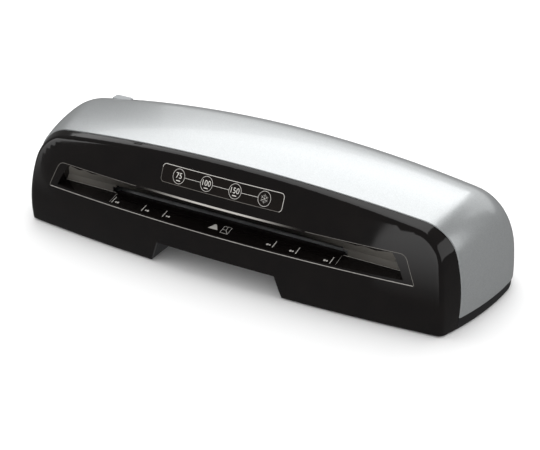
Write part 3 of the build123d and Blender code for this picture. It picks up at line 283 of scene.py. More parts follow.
def spangled_zinc():
    """Hot-dip zinc on sheet steel: large grey crystals of differing brightness."""
    material, tree, shader = new_material("spangled_zinc_sheet")
    place = add(tree, "ShaderNodeTexCoord")
    crystal = add(tree, "ShaderNodeTexVoronoi", {"Scale": 1 / (5 * MM)}, {"Vector": place.outputs["Object"]})
    ramp = add(tree, "ShaderNodeValToRGB", links={"Fac": crystal.outputs["Color"]})
    ramp.color_ramp.elements[0].color = linear("#9AA0A5")
    ramp.color_ramp.elements[1].color = linear("#C3C8CC")
    gloss = add(tree, "ShaderNodeMapRange", {"To Min": 0.28, "To Max": 0.5}, {"Value": crystal.outputs["Color"]})
    tree.links.new(ramp.outputs["Color"], shader.inputs["Base Color"])
    tree.links.new(gloss.outputs["Result"], shader.inputs["Roughness"])
    shader.inputs["Metallic"].default_value = 1.0
    return material


def striped(name, dark, light, pitch_mm, direction, share, rough, metallic=0.0):
    """Fine parallel lines, such as wound tape, etched tracks or copper turns."""
    material, tree, shader = new_material(name)
    place = add(tree, "ShaderNodeTexCoord")
    wave = add(tree, "ShaderNodeTexWave", {"Scale": 1 / (pitch_mm * MM) / 6.28 * 2, "Distortion": 0.4,
               "Detail": 1.0}, {"Vector": place.outputs["Object"]}, bands_direction=direction)
    ramp = add(tree, "ShaderNodeValToRGB", links={"Fac": wave.outputs["Fac"]})
    ramp.color_ramp.elements[0].position = share - 0.05
    ramp.color_ramp.elements[0].color = linear(dark)
    ramp.color_ramp.elements[1].position = share + 0.05
    ramp.color_ramp.elements[1].color = linear(light)
    relief = add(tree, "ShaderNodeBump", {"Strength": 0.6, "Distance": 0.03 * MM},
                 {"Height": wave.outputs["Fac"]})
    cloud = add(tree, "ShaderNodeTexNoise", {"Scale": 1 / (9 * MM)}, {"Vector": place.outputs["Object"]})
    gloss = add(tree, "ShaderNodeMapRange", {"To Min": rough[0], "To Max": rough[1]},
                {"Value": cloud.outputs["Fac"]})
    tree.links.new(ramp.outputs["Color"], shader.inputs["Base Color"])
    tree.links.new(gloss.outputs["Result"], shader.inputs["Roughness"])
    tree.links.new(relief.outputs["Normal"], shader.inputs["Normal"])
    shader.inputs["Metallic"].default_value = metallic
    return material


def make_materials(colours):
    """One finish for each slot of the record, and the printing ink."""
    made = {"satin_silver": silver_lacquer(colours.cover), "zinc_steel": spangled_zinc()}
    # Piano black ABS: a mirror-like face with hardly any moulding waviness.
    made["gloss_black"] = grained("piano_black_abs", colours.fascia, "#100D0C", (0.05, 0.09), 18, 0.004,
                                  specular=0.42, detail=1.0)
    # Satin black ABS inside the mouth, with a painted grey reflection that grows from the middle towards the ends.
    made["mouth_satin"] = fading("satin_black_with_painted_reflection", "#1A1816", "#5A5752", 60, 165, (0.3, 0.4))
    # Painted highlight: pale grey lines laid along the lip, tray and ledge edges, standing in for light caught by
    # their rounded edges.
    made["edge"] = grained("painted_edge_highlight", "#8E8B87", "#B5B2AD", (0.2, 0.3), 2.0, 0.001)
    # Painted dim highlight: grey lines for the mouth's end outlines, and painted shade on the window outline's
    # left and bottom sides.
    made["painted_dim_edge"] = grained("painted_dim_edge_line", "#55524E", "#6E6B66", (0.25, 0.35), 2.0, 0.001)
    # Painted highlight along the brow: pale in the middle, fading to near black towards the ends.
    made["brow_painted_highlight"] = fading("painted_brow_highlight_fade", "#B9B6B1", "#14110F", 18, 75, (0.2, 0.3))
    # Smoked acrylic: deeper and a little browner than the fascia round it.
    made["smoked_window"] = grained("smoked_acrylic", "#0E0B09", "#16110E", (0.03, 0.06), 25, 0.001,
                                    specular=0.45, ior=1.49, detail=1.0)
    # Spark-eroded ABS: a fine even grain that keeps highlights dull.
    made["matt_black"] = grained("spark_eroded_black_abs", "#111113", colours.base, (0.42, 0.6), 0.7, 0.03)
    # Grey ABS, moulded smooth: reads as a separate small part.
    made["lever_grey"] = grained("moulded_grey_abs", "#8D9092", "#A0A3A5", (0.35, 0.48), 0.8, 0.02)
    # Moulded rubber: dusty, almost no shine.
    made["soft_rubber"] = grained("moulded_black_rubber", "#17171A", "#232325", (0.75, 0.92), 1.2, 0.05)
    # Turned steel: fine rings round the bar catch a sharp line of light.
    made["bright_steel"] = grained("turned_bright_steel", "#B4B7BA", "#DADCDE", (0.16, 0.3), 0.5, 0.004,
                                   metallic=1.0, stretch=(1, 0.05, 0.05))
    # Extruded aluminium: die lines run the whole length.
    made["extruded_aluminium"] = grained("extruded_aluminium", "#C2C4C6", "#E2E3E4", (0.25, 0.42), 0.6, 0.01,
                                         metallic=1.0, stretch=(0.02, 1, 1))
    # Polyimide film over an etched foil: amber, with the foil's tracks showing through.
    made["amber_film"] = striped("amber_polyimide_film", "#5E2A08", "#C7781E", 2.2, "Y", 0.35, (0.15, 0.3))
    # Phenolic resin: brown, faintly mottled by its filler.
    made["brown_phenolic"] = grained("moulded_brown_phenolic", "#2C1A10", "#4A2E1C", (0.35, 0.5), 1.0, 0.02)
    # Natural acetal: milky white with a waxy shine.
    made["white_acetal"] = grained("natural_acetal", "#DCD9CF", "#F0EEE6", (0.28, 0.4), 2.5, 0.01, ior=1.48)
    # Glass-filled nylon: matt black with a slight fibre mottle along the flow.
    made["guide_black"] = grained("glass_filled_black_nylon", "#121214", "#222325", (0.5, 0.7), 0.9, 0.02,
                                  stretch=(0.2, 1, 1))
    # Solder mask over copper tracks: green, a little paler where copper lies under it.
    made["green_board"] = striped("green_solder_mask", "#0E4A26", "#1C6B38", 2.54, "X", 0.55, (0.2, 0.35))
    # Water-clear epoxy of a light-emitting diode.
    made["clear_led"] = grained("clear_epoxy", "#DCE6F2", "#FFFFFF", (0.05, 0.12), 3.0, 0.002, clear=0.8)
    # Polyester tape round a winding: glossy yellow with overlapping edges.
    made["transformer_yellow"] = striped("wound_yellow_tape", "#B98A12", "#E6BE32", 3.0, "Z", 0.3, (0.2, 0.32))
    # Relay case: pale blue polybutylene, smooth.
    made["relay_blue"] = grained("moulded_blue_polyester", "#1E5FA6", "#3277BD", (0.3, 0.42), 1.2, 0.01)
    # Terminal block: green polyamide.
    made["terminal_green"] = grained("moulded_green_polyamide", "#1F7A3E", "#2F9150", (0.4, 0.55), 1.0, 0.02)
    # Drawn and plated motor can: faint lines round the can.
    made["motor_steel"] = grained("plated_drawn_steel", "#A9ACB0", "#CFD2D5", (0.22, 0.34), 0.8, 0.006,
                                  metallic=1.0, stretch=(1, 0.1, 0.1))
    # Ground silicone rubber: dusty terracotta, no shine.
    made["red_silicone"] = grained("ground_red_silicone", "#8E2E1F", "#A84030", (0.7, 0.85), 0.5, 0.02)
    # Ground silicone rubber, grey.
    made["grey_silicone"] = grained("ground_grey_silicone", "#5E6062", "#747678", (0.7, 0.85), 0.5, 0.02)
    # Pad-printing ink: even, semi-matt, slightly thin at the edges.
    made["ink"] = grained("pad_printed_ink", "#BDBAB5", colours.ink, (0.45, 0.6), 0.4, 0.002)
    return made


MATERIALS = {}


def smooth_by_angle(mesh, degrees):
    """Smooth faces, with a crease wherever two faces meet more sharply than this."""
    work = bmesh.new()
    work.from_mesh(mesh)
    for face in work.faces:
        face.smooth = True
    limit = radians(degrees)
    for edge in work.edges:
        edge.smooth = len(edge.link_faces) == 2 and edge.calc_face_angle(0.0) < limit
    work.to_mesh(mesh)
    work.free()


def merged_copy(node, name, degrees):
    """A smooth-shaded copy of a CAD piece, its corners joined."""
    source = frame["nodes"][node]
    mesh = bpy.data.meshes.new(name)
    work = bmesh.new()
    work.from_mesh(source.data)
    bmesh.ops.remove_doubles(work, verts=work.verts, dist=0.002 * MM)
    bmesh.ops.dissolve_degenerate(work, dist=0.001 * MM, edges=work.edges)
    work.to_mesh(mesh)
    work.free()
    smooth_by_angle(mesh, degrees)
    piece = bpy.data.objects.new(name, mesh)
    bpy.context.scene.collection.objects.link(piece)
    return piece


def place_piece(piece, node, slot_name=None):
    """Give a piece its finish and its body, and let it stand for its CAD piece."""
    slot_name = slot_name or SLOT_OF[node]
    piece.data.materials.clear()
    piece.data.materials.append(MATERIALS[slot_name])
    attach(piece, BODY_OF[node])
    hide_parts(node)


def new_piece(name, vertices, faces):
    mesh = bpy.data.meshes.new(name)
    mesh.from_pydata([[c * MM for c in v] for v in vertices], [], faces)
    mesh.update()
    piece = bpy.data.objects.new(name, mesh)
    bpy.context.scene.collection.objects.link(piece)
    return piece


def evaluated_mesh(piece, name):
    """The piece with its modifiers made real."""
    graph = bpy.context.evaluated_depsgraph_get()
    mesh = bpy.data.meshes.new_from_object(piece.evaluated_get(graph))
    mesh.name = name
    return mesh


# ---- operators ----------------------------------------------------------------------------------

class LAMINATOR_OT_finishes(bpy.types.Operator):
    """Give every moulded, turned and sheet piece its own finish"""
    bl_idname = "laminator.finishes"
    bl_label = "Finishes"

    def execute(self, context):
        MATERIALS.update(make_materials(context.scene.laminator_colours))
        for node, piece in frame["nodes"].items():
            material = MATERIALS[SLOT_OF[node]]
            if not piece.material_slots:
                piece.data.materials.append(material)
            for slot in piece.material_slots:
                slot.material = material
        return {"FINISHED"}


class LAMINATOR_OT_casings(bpy.types.Operator):
    """Smooth the moulded casings, with creases only at their real edges"""
    bl_idname = "laminator.casings"
    bl_label = "Casings"

    def execute(self, context):
        for node, radius in (("top_cover", 0.35), ("front_fascia", 0.45), ("base_tray", 0.3),
                             ("rear_cover", 0.3), ("entry_tray", 0.35), ("control_window", 0.25)):
            piece = merged_copy(node, node + "_moulding", 24)
            round_edges(piece, radius, 35)
            place_piece(piece, node)
            if node == "front_fascia":
                face_mouth(piece)
        return {"FINISHED"}


def round_edges(piece, radius_mm, degrees):
    """Break the sharp edges of a moulding by a small radius, as its tool has."""
    bevel = piece.modifiers.new("edge radius", "BEVEL")
    bevel.width = radius_mm * MM
    bevel.segments = 2
    bevel.limit_method = "ANGLE"
    bevel.angle_limit = radians(degrees)
    bevel.use_clamp_overlap = True
    bevel.harden_normals = True
    mesh = evaluated_mesh(piece, piece.name)
    piece.modifiers.clear()
    piece.data = mesh


def face_mouth(piece):
    """Give the mouth's inside its satin black finish with the painted grey reflection."""
    piece.data.materials.append(MATERIALS["mouth_satin"])
    for face in piece.data.polygons:
        x, y, z = [c / MM for c in face.center]
        if LIP_Z - 1 < z < BROW_Z + 1 and abs(x) < 174 and y > fascia_y(x, z) + 1.2 and face.normal.y < -0.3:
            face.material_index = 1


def ribbon(points, width, closed=False):
    """Flat strip of the given width along a line of (u, v) points: outline quads."""
    count = len(points)
    left, right = [], []
    for i, (u, v) in enumerate(points):
        before = points[(i - 1) % count] if closed or i else points[i]
        after = points[(i + 1) % count] if closed or i < count - 1 else points[i]
        du, dv = after[0] - before[0], after[1] - before[1]
        length = sqrt(du * du + dv * dv)
        nu, nv = -dv / length * width / 2, du / length * width / 2
        left.append((u + nu, v + nv))
        right.append((u - nu, v - nv))
    quads = []
    for i in range(count if closed else count - 1):
        j = (i + 1) % count
        quads.append([right[i], right[j], left[j], left[i]])
    return quads


def dense(points, step, closed=False):
    """The same line with points no further apart than step."""
    out = []
    ends = points + [points[0]] if closed else points
    for (u0, v0), (u1, v1) in zip(ends, ends[1:]):
        parts = max(1, int(sqrt((u1 - u0) ** 2 + (v1 - v0) ** 2) / step))
        out += [(u0 + (u1 - u0) * i / parts, v0 + (v1 - v0) * i / parts) for i in range(parts)]
    if not closed:
        out.append(points[-1])
    return out


def rounded_rectangle(u0, u1, v0, v1, radius, steps=6):
    corners = [(u1 - radius, v1 - radius, 0), (u0 + radius, v1 - radius, 90),
               (u0 + radius, v0 + radius, 180), (u1 - radius, v0 + radius, 270)]
    points = []
    for u, v, start in corners:
        for i in range(steps + 1):
            angle = radians(start + 90 * i / steps)
            points.append((u + radius * cos(angle), v + radius * sin(angle)))
    return points


def ring(u, v, radius, steps=48):
    return [(u + radius * cos(2 * pi * i / steps), v + radius * sin(2 * pi * i / steps)) for i in range(steps)]


def printed(name, polygons, surface, thickness, node, finish="ink"):
    """Ink on a surface: each (u, v) polygon, laid on the surface and given its thickness."""
    vertices, faces = [], []
    for polygon in polygons:
        count = len(polygon)
        first = len(vertices)
        vertices += [surface(u, v, 0.005) for u, v in polygon]
        vertices += [surface(u, v, 0.005 + thickness) for u, v in polygon]
        faces.append([first + i for i in reversed(range(count))])
        faces.append([first + count + i for i in range(count)])
        for i in range(count):
            j = (i + 1) % count
            faces.append([first + i, first + j, first + count + j, first + count + i])
    piece = new_piece(name, vertices, faces)
    work = bmesh.new()
    work.from_mesh(piece.data)
    bmesh.ops.recalc_face_normals(work, faces=work.faces)
    work.to_mesh(piece.data)
    work.free()
    piece.data.materials.append(MATERIALS[finish])
    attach(piece, BODY_OF[node])
    return piece


def on_face(u, v, lift):
    return (u, fascia_y(u, v, lift), v)


def on_tray(u, v, lift):
    return (u, v, tray_z(v, lift))


def on_ledge(u, v, lift):
    return (u, v, tray_z(v, lift) + TRAY_DROP)


def numeral_polygons(text, height, u, v):
    """Outline faces of a plain numeral, centred on (u, v)."""
    curve = bpy.data.curves.new("numeral", "FONT")
    curve.body = text
    curve.size = 10.0
    curve.align_x = "CENTER"
    curve.align_y = "CENTER"
    curve.resolution_u = 3
    holder = bpy.data.objects.new("numeral", curve)
    bpy.context.scene.collection.objects.link(holder)
    mesh = evaluated_mesh(holder, "numeral")
    ys = [vertex.co.y for vertex in mesh.vertices]
    xs = [vertex.co.x for vertex in mesh.vertices]
    scale = height / (max(ys) - min(ys))
    mid_x, mid_y = (max(xs) + min(xs)) / 2, (max(ys) + min(ys)) / 2
    polygons = []
    for face in mesh.polygons:
        corners = [mesh.vertices[i].co for i in face.vertices]
        polygons.append([(u + (c.x - mid_x) * scale, v + (c.y - mid_y) * scale) for c in corners])
    bpy.data.objects.remove(holder)
    bpy.data.curves.remove(curve)
    bpy.data.meshes.remove(mesh)
    return polygons


def snowflake_polygons(u, v, radius, width):
    polygons = []
    for arm in range(6):
        angle = radians(90 + 60 * arm)
        du, dv = cos(angle), sin(angle)
        polygons += ribbon([(u, v), (u + du * radius, v + dv * radius)], width)
        for side in (-1, 1):
            branch = angle + side * radians(55)
            start = (u + du * radius * 0.55, v + dv * radius * 0.55)
            end = (start[0] + cos(branch) * radius * 0.38, start[1] + sin(branch) * radius * 0.38)
            polygons += ribbon([start, end], width * 0.8)
    return polygons


class LAMINATOR_OT_key_prints(bpy.types.Operator):
    """Print the touch keys: numbered rings, their joining lines and the window's outline"""
    bl_idname = "laminator.key_prints"
    bl_label = "Key prints"

    def execute(self, context):
        sizes = context.scene.laminator_prints
        z0, z1 = WINDOW_BOX[0].z, WINDOW_BOX[1].z
        half = WINDOW_BOX[1].x
        mid = (z0 + z1) / 2
        keys = [(i - 1.5) * KEY_PITCH for i in range(4)]
        line = sizes.key_line
        polygons = []
        for u in keys:
            polygons += ribbon(ring(u, mid, sizes.key_radius), line, closed=True)
        for left, right in zip(keys, keys[1:]):
            span = [(left + sizes.key_radius, mid), (right - sizes.key_radius, mid)]
            polygons += ribbon(dense(span, 3), line)
        for u, text in zip(keys, ("75", "100", "150")):
            polygons += numeral_polygons(text, sizes.numeral_height, u, mid + 0.6)
            polygons += ribbon([(u - 1.9, mid - 3.3), (u + 1.9, mid - 3.3)], 0.7)
        polygons += snowflake_polygons(keys[3], mid, sizes.numeral_height * 0.8, line * 0.6)
        printed("key_prints", polygons, on_face, sizes.print_thickness, "control_window")
        edge = 0.6
        outline = rounded_rectangle(-half + edge, half - edge, z0 + edge, z1 - edge, 3.0)
        frame_line = ribbon(dense(outline, 3, closed=True), sizes.outline_width, closed=True)
        # Painted light and shade on the printed outline: the top and right sides in light ink, the left and bottom
        # sides in dim grey.
        lit = [quad for quad in frame_line if quad[0][1] > z1 - 3 or quad[0][0] > half - 3]
        shaded = [quad for quad in frame_line if quad not in lit]
        printed("window_outline_lit", lit, on_face, sizes.print_thickness, "control_window")
        printed("window_outline_shaded", shaded, on_face, sizes.print_thickness, "control_window", "painted_dim_edge")
        return {"FINISHED"}


class LAMINATOR_OT_tray_prints(bpy.types.Operator):
    """Print the pouch size marks, the feed arrow and the pouch symbol on the tray"""
    bl_idname = "laminator.tray_prints"
    bl_label = "Tray prints"

    def execute(self, context):
        sizes = context.scene.laminator_prints
        y0 = TRAY_BOX[0].y
        polygons = []
        for side in (-1, 1):
            for at in (104.0, 73.5, 52.5):
                u = TRAY_X - 1.5 + side * at
                polygons += ribbon([(u, y0 + 4.5), (u, y0 + 12.5)], sizes.mark_width * 1.6)
                for k, size in ((1, 1.3), (2, 1.7)):
                    dot = u - side * (1.2 + 2.1 * k)
                    polygons.append(ring(dot, y0 + 6.4, size * 0.62, 12))
        polygons.append([(-10.4, y0 + 6.5), (-1.4, y0 + 6.5), (-5.2, y0 + 12.4), (-7.0, y0 + 12.4)])
        page = [(1.8, y0 + 5.0), (8.8, y0 + 5.0), (8.8, y0 + 13.0), (1.8, y0 + 13.0)]
        polygons += ribbon(page, 0.5, closed=True)
        polygons += ribbon([(1.8, y0 + 9.0), (5.3, y0 + 9.0), (5.3, y0 + 13.0)], 0.45)
        polygons += ribbon([(5.3, y0 + 9.0), (8.8, y0 + 5.0)], 0.45)
        printed("tray_prints", polygons, on_tray, sizes.print_thickness, "entry_tray")
        return {"FINISHED"}


class LAMINATOR_OT_edges(bpy.types.Operator):
    """Paint pale highlight lines along the thin edges round the mouth, the tray and the brow"""
    bl_idname = "laminator.edges"
    bl_label = "Mouth edges"

    def execute(self, context):
        thickness = context.scene.laminator_prints.print_thickness
        tray_half = TRAY_BOX[1].x - TRAY_X
        # the lip, tray and ledge lines are painted highlights in pale grey, not burnished edges
        lip = LIP_Z - 0.45
        lines = ribbon(dense([(-MOUTH_HALF, lip), (MOUTH_HALF, lip)], 3), 0.55)
        printed("lip_painted_highlight", lines, on_face, thickness, "front_fascia", "edge")
        # painted highlight along the brow, pale in the middle and fading towards the ends
        brow = BROW_Z + 0.9
        lines = ribbon(dense([(-76, brow), (76, brow)], 3), 1.5)
        printed("brow_painted_highlight", lines, on_face, thickness, "front_fascia", "brow_painted_highlight")
        y_back = MOUTH_BACK_Y - 0.6
        lines = []
        # dim grey painted highlight up the mouth's end corners to the brow
        for side in (-1, 1):
            corner = [(side * x, z) for x, z in MOUTH_END]
            lines += ribbon(dense(corner, 2), 0.42)
        printed("mouth_painted_highlight", lines, on_face, thickness, "front_fascia", "painted_dim_edge")
        # painted highlight lines along the tray's sides and its front edge
        lines = []
        for side in (-1, 1):
            x = TRAY_X + side * (tray_half - 0.4)
            lines += ribbon(dense([(x, fascia_y(x, LIP_Z) + 2.4), (x, y_back)], 3), 0.5)
        ends = (TRAY_X - tray_half + 1, TRAY_X + tray_half - 1)
        front = [(x, fascia_y(x, LIP_Z) + 2.3) for x, _ in dense([(ends[0], 0), (ends[1], 0)], 4)]
        lines += ribbon(front, 0.42)
        printed("tray_painted_highlight", lines, on_tray, thickness, "entry_tray", "edge")
        # painted highlight lines along the ledges' back edges
        lines = []
        for side in (-1, 1):
            lines += ribbon(dense([(TRAY_X + side * (tray_half + 0.6), y_back), (side * 161, y_back)], 3), 0.5)
        printed("ledge_painted_highlight", lines, on_ledge, thickness, "front_fascia", "edge")
        return {"FINISHED"}


# ---- fittings made by node trees ------------------------------------------------------------------

def node_group(name, sizes):
    """An empty geometry tree with a geometry input, named size inputs and a geometry output."""
    tree = bpy.data.node_groups.new(name, "GeometryNodeTree")
    tree.interface.new_socket("Geometry", in_out="INPUT", socket_type="NodeSocketGeometry")
    for size, value in sizes.items():
        kind = "NodeSocketMaterial" if value is None else "NodeSocketFloat"
        socket = tree.interface.new_socket(size, in_out="INPUT", socket_type=kind)
        if value is not None:
            socket.default_value = value
    tree.interface.new_socket("Geometry", in_out="OUTPUT", socket_type="NodeSocketGeometry")
    return tree


def run_tree(tree, points, name, inputs, axes=None):
    """A plain mesh made by the tree on these points, in millimetres."""
    mesh = bpy.data.meshes.new(name)
    mesh.from_pydata([[c * MM for c in p] for p in points], [], [])
    if axes:
        pointing = mesh.attributes.new("axis", "FLOAT_VECTOR", "POINT")
        pointing.data.foreach_set("vector", [c for axis in axes for c in axis])
    holder = bpy.data.objects.new(name, mesh)
    bpy.context.scene.collection.objects.link(holder)
    modifier = holder.modifiers.new(name, "NODES")
    modifier.node_group = tree
    for socket in tree.interface.items_tree:
        if socket.in_out == "INPUT" and socket.name in inputs:
            modifier[socket.identifier] = inputs[socket.name]
    made = evaluated_mesh(holder, name)
    holder.modifiers.clear()
    if not made.polygons:
        raise RuntimeError(f"the tree made nothing for {name}")
    holder.data = made
    bpy.data.meshes.remove(mesh)
    return holder


def screw_tree():
    """Pan-head screw with a cross recess and a coarse thread, head up on each point."""
    tree = node_group("Pan-head screws", {"Length": 0.008, "Radius": 0.0014, "Head radius": 0.0029,
                      "Head height": 0.0016, "Pitch": 0.0011, "Finish": None})
    given = add(tree, "NodeGroupInput").outputs
    half_head = add(tree, "ShaderNodeMath", {1: 0.5}, {0: given["Head height"]}, operation="MULTIPLY")
    lift = add(tree, "ShaderNodeCombineXYZ", links={"Z": half_head.outputs[0]})
    head = add(tree, "GeometryNodeMeshCylinder", {"Vertices": 40, "Side Segments": 4, "Fill Segments": 5},
               {"Radius": given["Head radius"], "Depth": given["Head height"]})
    raised = add(tree, "GeometryNodeTransform", links={"Geometry": head.outputs["Mesh"],
                 "Translation": lift.outputs[0]})
    # the head's upper face falls towards its rim
    place = add(tree, "GeometryNodeInputPosition")
    apart = add(tree, "ShaderNodeSeparateXYZ", links={0: place.outputs[0]})
    flat = add(tree, "ShaderNodeCombineXYZ", links={"X": apart.outputs["X"], "Y": apart.outputs["Y"]})
    reach = add(tree, "ShaderNodeVectorMath", links={0: flat.outputs[0]}, operation="LENGTH")
    share = add(tree, "ShaderNodeMath", links={0: reach.outputs["Value"], 1: given["Head radius"]},
                operation="DIVIDE")
    steep = add(tree, "ShaderNodeMath", {1: 3.0}, {0: share.outputs[0]}, operation="POWER")
    keep = add(tree, "ShaderNodeMapRange", {"From Min": 0.0, "From Max": 1.0, "To Min": 1.0, "To Max": 0.55},
               {"Value": steep.outputs[0]})
    height = add(tree, "ShaderNodeMath", links={0: apart.outputs["Z"], 1: keep.outputs[0]},
                 operation="MULTIPLY")
    domed_at = add(tree, "ShaderNodeCombineXYZ", links={"X": apart.outputs["X"], "Y": apart.outputs["Y"],
                   "Z": height.outputs[0]})
    domed = add(tree, "GeometryNodeSetPosition", links={"Geometry": raised.outputs[0],
                "Position": domed_at.outputs[0]})
    # cross recess
    long_side = add(tree, "ShaderNodeMath", {1: 1.15}, {0: given["Head radius"]}, operation="MULTIPLY")
    short_side = add(tree, "ShaderNodeMath", {1: 0.28}, {0: given["Head radius"]}, operation="MULTIPLY")
    arm_size = add(tree, "ShaderNodeCombineXYZ", links={"X": long_side.outputs[0], "Y": short_side.outputs[0],
                   "Z": given["Head height"]})
    arm = add(tree, "GeometryNodeMeshCube", links={"Size": arm_size.outputs[0]})
    up = add(tree, "ShaderNodeCombineXYZ", links={"Z": given["Head height"]})
    first = add(tree, "GeometryNodeTransform", links={"Geometry": arm.outputs["Mesh"],
                "Translation": up.outputs[0]})
    second = add(tree, "GeometryNodeTransform", {"Rotation": (0, 0, pi / 2)},
                 {"Geometry": arm.outputs["Mesh"], "Translation": up.outputs[0]})
    cut = add(tree, "GeometryNodeMeshBoolean", links={"Mesh 1": domed.outputs[0]}, operation="DIFFERENCE")
    tree.links.new(first.outputs[0], cut.inputs["Mesh 2"])
    tree.links.new(second.outputs[0], cut.inputs["Mesh 2"])
    # threaded shank
    core_radius = add(tree, "ShaderNodeMath", {1: 0.8}, {0: given["Radius"]}, operation="MULTIPLY")
    core = add(tree, "GeometryNodeMeshCylinder", {"Vertices": 20}, {"Radius": core_radius.outputs[0],
               "Depth": given["Length"]})
    half_length = add(tree, "ShaderNodeMath", {1: -0.5}, {0: given["Length"]}, operation="MULTIPLY")
    down = add(tree, "ShaderNodeCombineXYZ", links={"Z": half_length.outputs[0]})
    shank = add(tree, "GeometryNodeTransform", links={"Geometry": core.outputs["Mesh"],
                "Translation": down.outputs[0]})
    usable = add(tree, "ShaderNodeMath", {1: 0.86}, {0: given["Length"]}, operation="MULTIPLY")
    turns = add(tree, "ShaderNodeMath", links={0: usable.outputs[0], 1: given["Pitch"]}, operation="DIVIDE")
    helix = add(tree, "GeometryNodeCurveSpiral", {"Resolution": 14}, {"Rotations": turns.outputs[0],
                "Start Radius": core_radius.outputs[0], "End Radius": core_radius.outputs[0],
                "Height": usable.outputs[0]})
    ridge_radius = add(tree, "ShaderNodeMath", {1: 0.2}, {0: given["Radius"]}, operation="MULTIPLY")
    ridge = add(tree, "GeometryNodeCurvePrimitiveCircle", {"Resolution": 5}, {"Radius": ridge_radius.outputs[0]})
    thread = add(tree, "GeometryNodeCurveToMesh", {"Fill Caps": True}, {"Curve": helix.outputs[0],
                 "Profile Curve": ridge.outputs["Curve"]})
    start_at = add(tree, "ShaderNodeMath", {1: -0.95}, {0: given["Length"]}, operation="MULTIPLY")
    start = add(tree, "ShaderNodeCombineXYZ", links={"Z": start_at.outputs[0]})
    wound = add(tree, "GeometryNodeTransform", links={"Geometry": thread.outputs[0],
                "Translation": start.outputs[0]})
    whole = add(tree, "GeometryNodeJoinGeometry")
    for part in (cut.outputs["Mesh"], shank.outputs[0], wound.outputs[0]):
        tree.links.new(part, whole.inputs[0])
    axis = add(tree, "GeometryNodeInputNamedAttribute", {"Name": "axis"}, data_type="FLOAT_VECTOR")
    turn = add(tree, "FunctionNodeAlignRotationToVector", links={"Vector": axis.outputs["Attribute"]}, axis="Z")
    placed = add(tree, "GeometryNodeInstanceOnPoints", links={"Points": given["Geometry"],
                 "Instance": whole.outputs[0], "Rotation": turn.outputs[0]})
    real = add(tree, "GeometryNodeRealizeInstances", links={"Geometry": placed.outputs[0]})
    coated = add(tree, "GeometryNodeSetMaterial", links={"Geometry": real.outputs[0],
                 "Material": given["Finish"]})
    add(tree, "NodeGroupOutput", links={"Geometry": coated.outputs[0]})
    return tree


def separate_solids(node):
    """Lowest and highest corner of each separate solid of a CAD piece, in millimetres."""
    work = bmesh.new()
    work.from_mesh(frame["nodes"][node].data)
    bmesh.ops.remove_doubles(work, verts=work.verts, dist=0.002 * MM)
    left = set(work.verts)
    boxes = []
    while left:
        group, front = set(), [left.pop()]
        while front:
            vertex = front.pop()
            group.add(vertex)
            for edge in vertex.link_edges:
                other = edge.other_vert(vertex)
                if other in left:
                    left.remove(other)
                    front.append(other)
        low = [min(vertex.co[i] for vertex in group) / MM for i in range(3)]
        high = [max(vertex.co[i] for vertex in group) / MM for i in range(3)]
        boxes.append((low, high))
    work.free()
    return boxes


class LAMINATOR_OT_screws(bpy.types.Operator):
    """Set every screw where the frame has it, with a threaded shank and a cross recess"""
    bl_idname = "laminator.screws"
    bl_label = "Screws"

    def execute(self, context):
        sizes = context.scene.laminator_fittings
        tree = screw_tree()
        for node in ("cover_screws", "frame_screws", "board_screws"):
            groups = {}
            for low, high in separate_solids(node):
                span = [high[i] - low[i] for i in range(3)]
                along = span.index(max(span))
                if node == "cover_screws":
                    axis, at = (0, 0, -1), low[2] + sizes.head_height
                elif along == 2 or node == "board_screws":
                    axis, at = (0, 0, 1), high[2] - sizes.head_height
                else:
                    side = 1 if low[0] > 0 else -1
                    axis = (side, 0, 0)
                    at = (high[0] if side > 0 else low[0]) - side * sizes.head_height
                middle = [(low[i] + high[i]) / 2 for i in range(3)]
                middle[along if node != "board_screws" else 2] = at
                length = round(max(span) - sizes.head_height, 1)
                groups.setdefault(length, []).append((middle, axis))
            made = []
            for length, places in groups.items():
                inputs = {"Length": length * MM, "Radius": sizes.screw_radius * MM,
                          "Head radius": sizes.head_radius * MM, "Head height": sizes.head_height * MM,
                          "Pitch": sizes.thread_pitch * MM, "Finish": MATERIALS["bright_steel"]}
                made.append(run_tree(tree, [p for p, a in places], f"{node}_threaded", inputs,
                                     [a for p, a in places]))
            work = bmesh.new()
            for piece in made:
                work.from_mesh(piece.data)
            mesh = bpy.data.meshes.new(node + "_threaded")
            work.to_mesh(mesh)
            work.free()
            for piece in made:
                bpy.data.objects.remove(piece)
            smooth_by_angle(mesh, 40)
            whole = bpy.data.objects.new(node + "_threaded", mesh)
            context.scene.collection.objects.link(whole)
            place_piece(whole, node)
        return {"FINISHED"}


def spring_tree():
    """Coil spring standing on each point."""
    tree = node_group("Coil springs", {"Height": 0.012, "Coil radius": 0.0036, "Wire radius": 0.0006,
                      "Turns": 4.5, "Finish": None})
    given = add(tree, "NodeGroupInput").outputs
    helix = add(tree, "GeometryNodeCurveSpiral", {"Resolution": 24}, {"Rotations": given["Turns"],
                "Start Radius": given["Coil radius"], "End Radius": given["Coil radius"],
                "Height": given["Height"]})
    wire = add(tree, "GeometryNodeCurvePrimitiveCircle", {"Resolution": 10}, {"Radius": given["Wire radius"]})
    coil = add(tree, "GeometryNodeCurveToMesh", {"Fill Caps": True}, {"Curve": helix.outputs[0],
               "Profile Curve": wire.outputs["Curve"]})
    placed = add(tree, "GeometryNodeInstanceOnPoints", links={"Points": given["Geometry"],
                 "Instance": coil.outputs[0]})
    real = add(tree, "GeometryNodeRealizeInstances", links={"Geometry": placed.outputs[0]})
    coated = add(tree, "GeometryNodeSetMaterial", links={"Geometry": real.outputs[0],
                 "Material": given["Finish"]})
    add(tree, "NodeGroupOutput", links={"Geometry": coated.outputs[0]})
    return tree


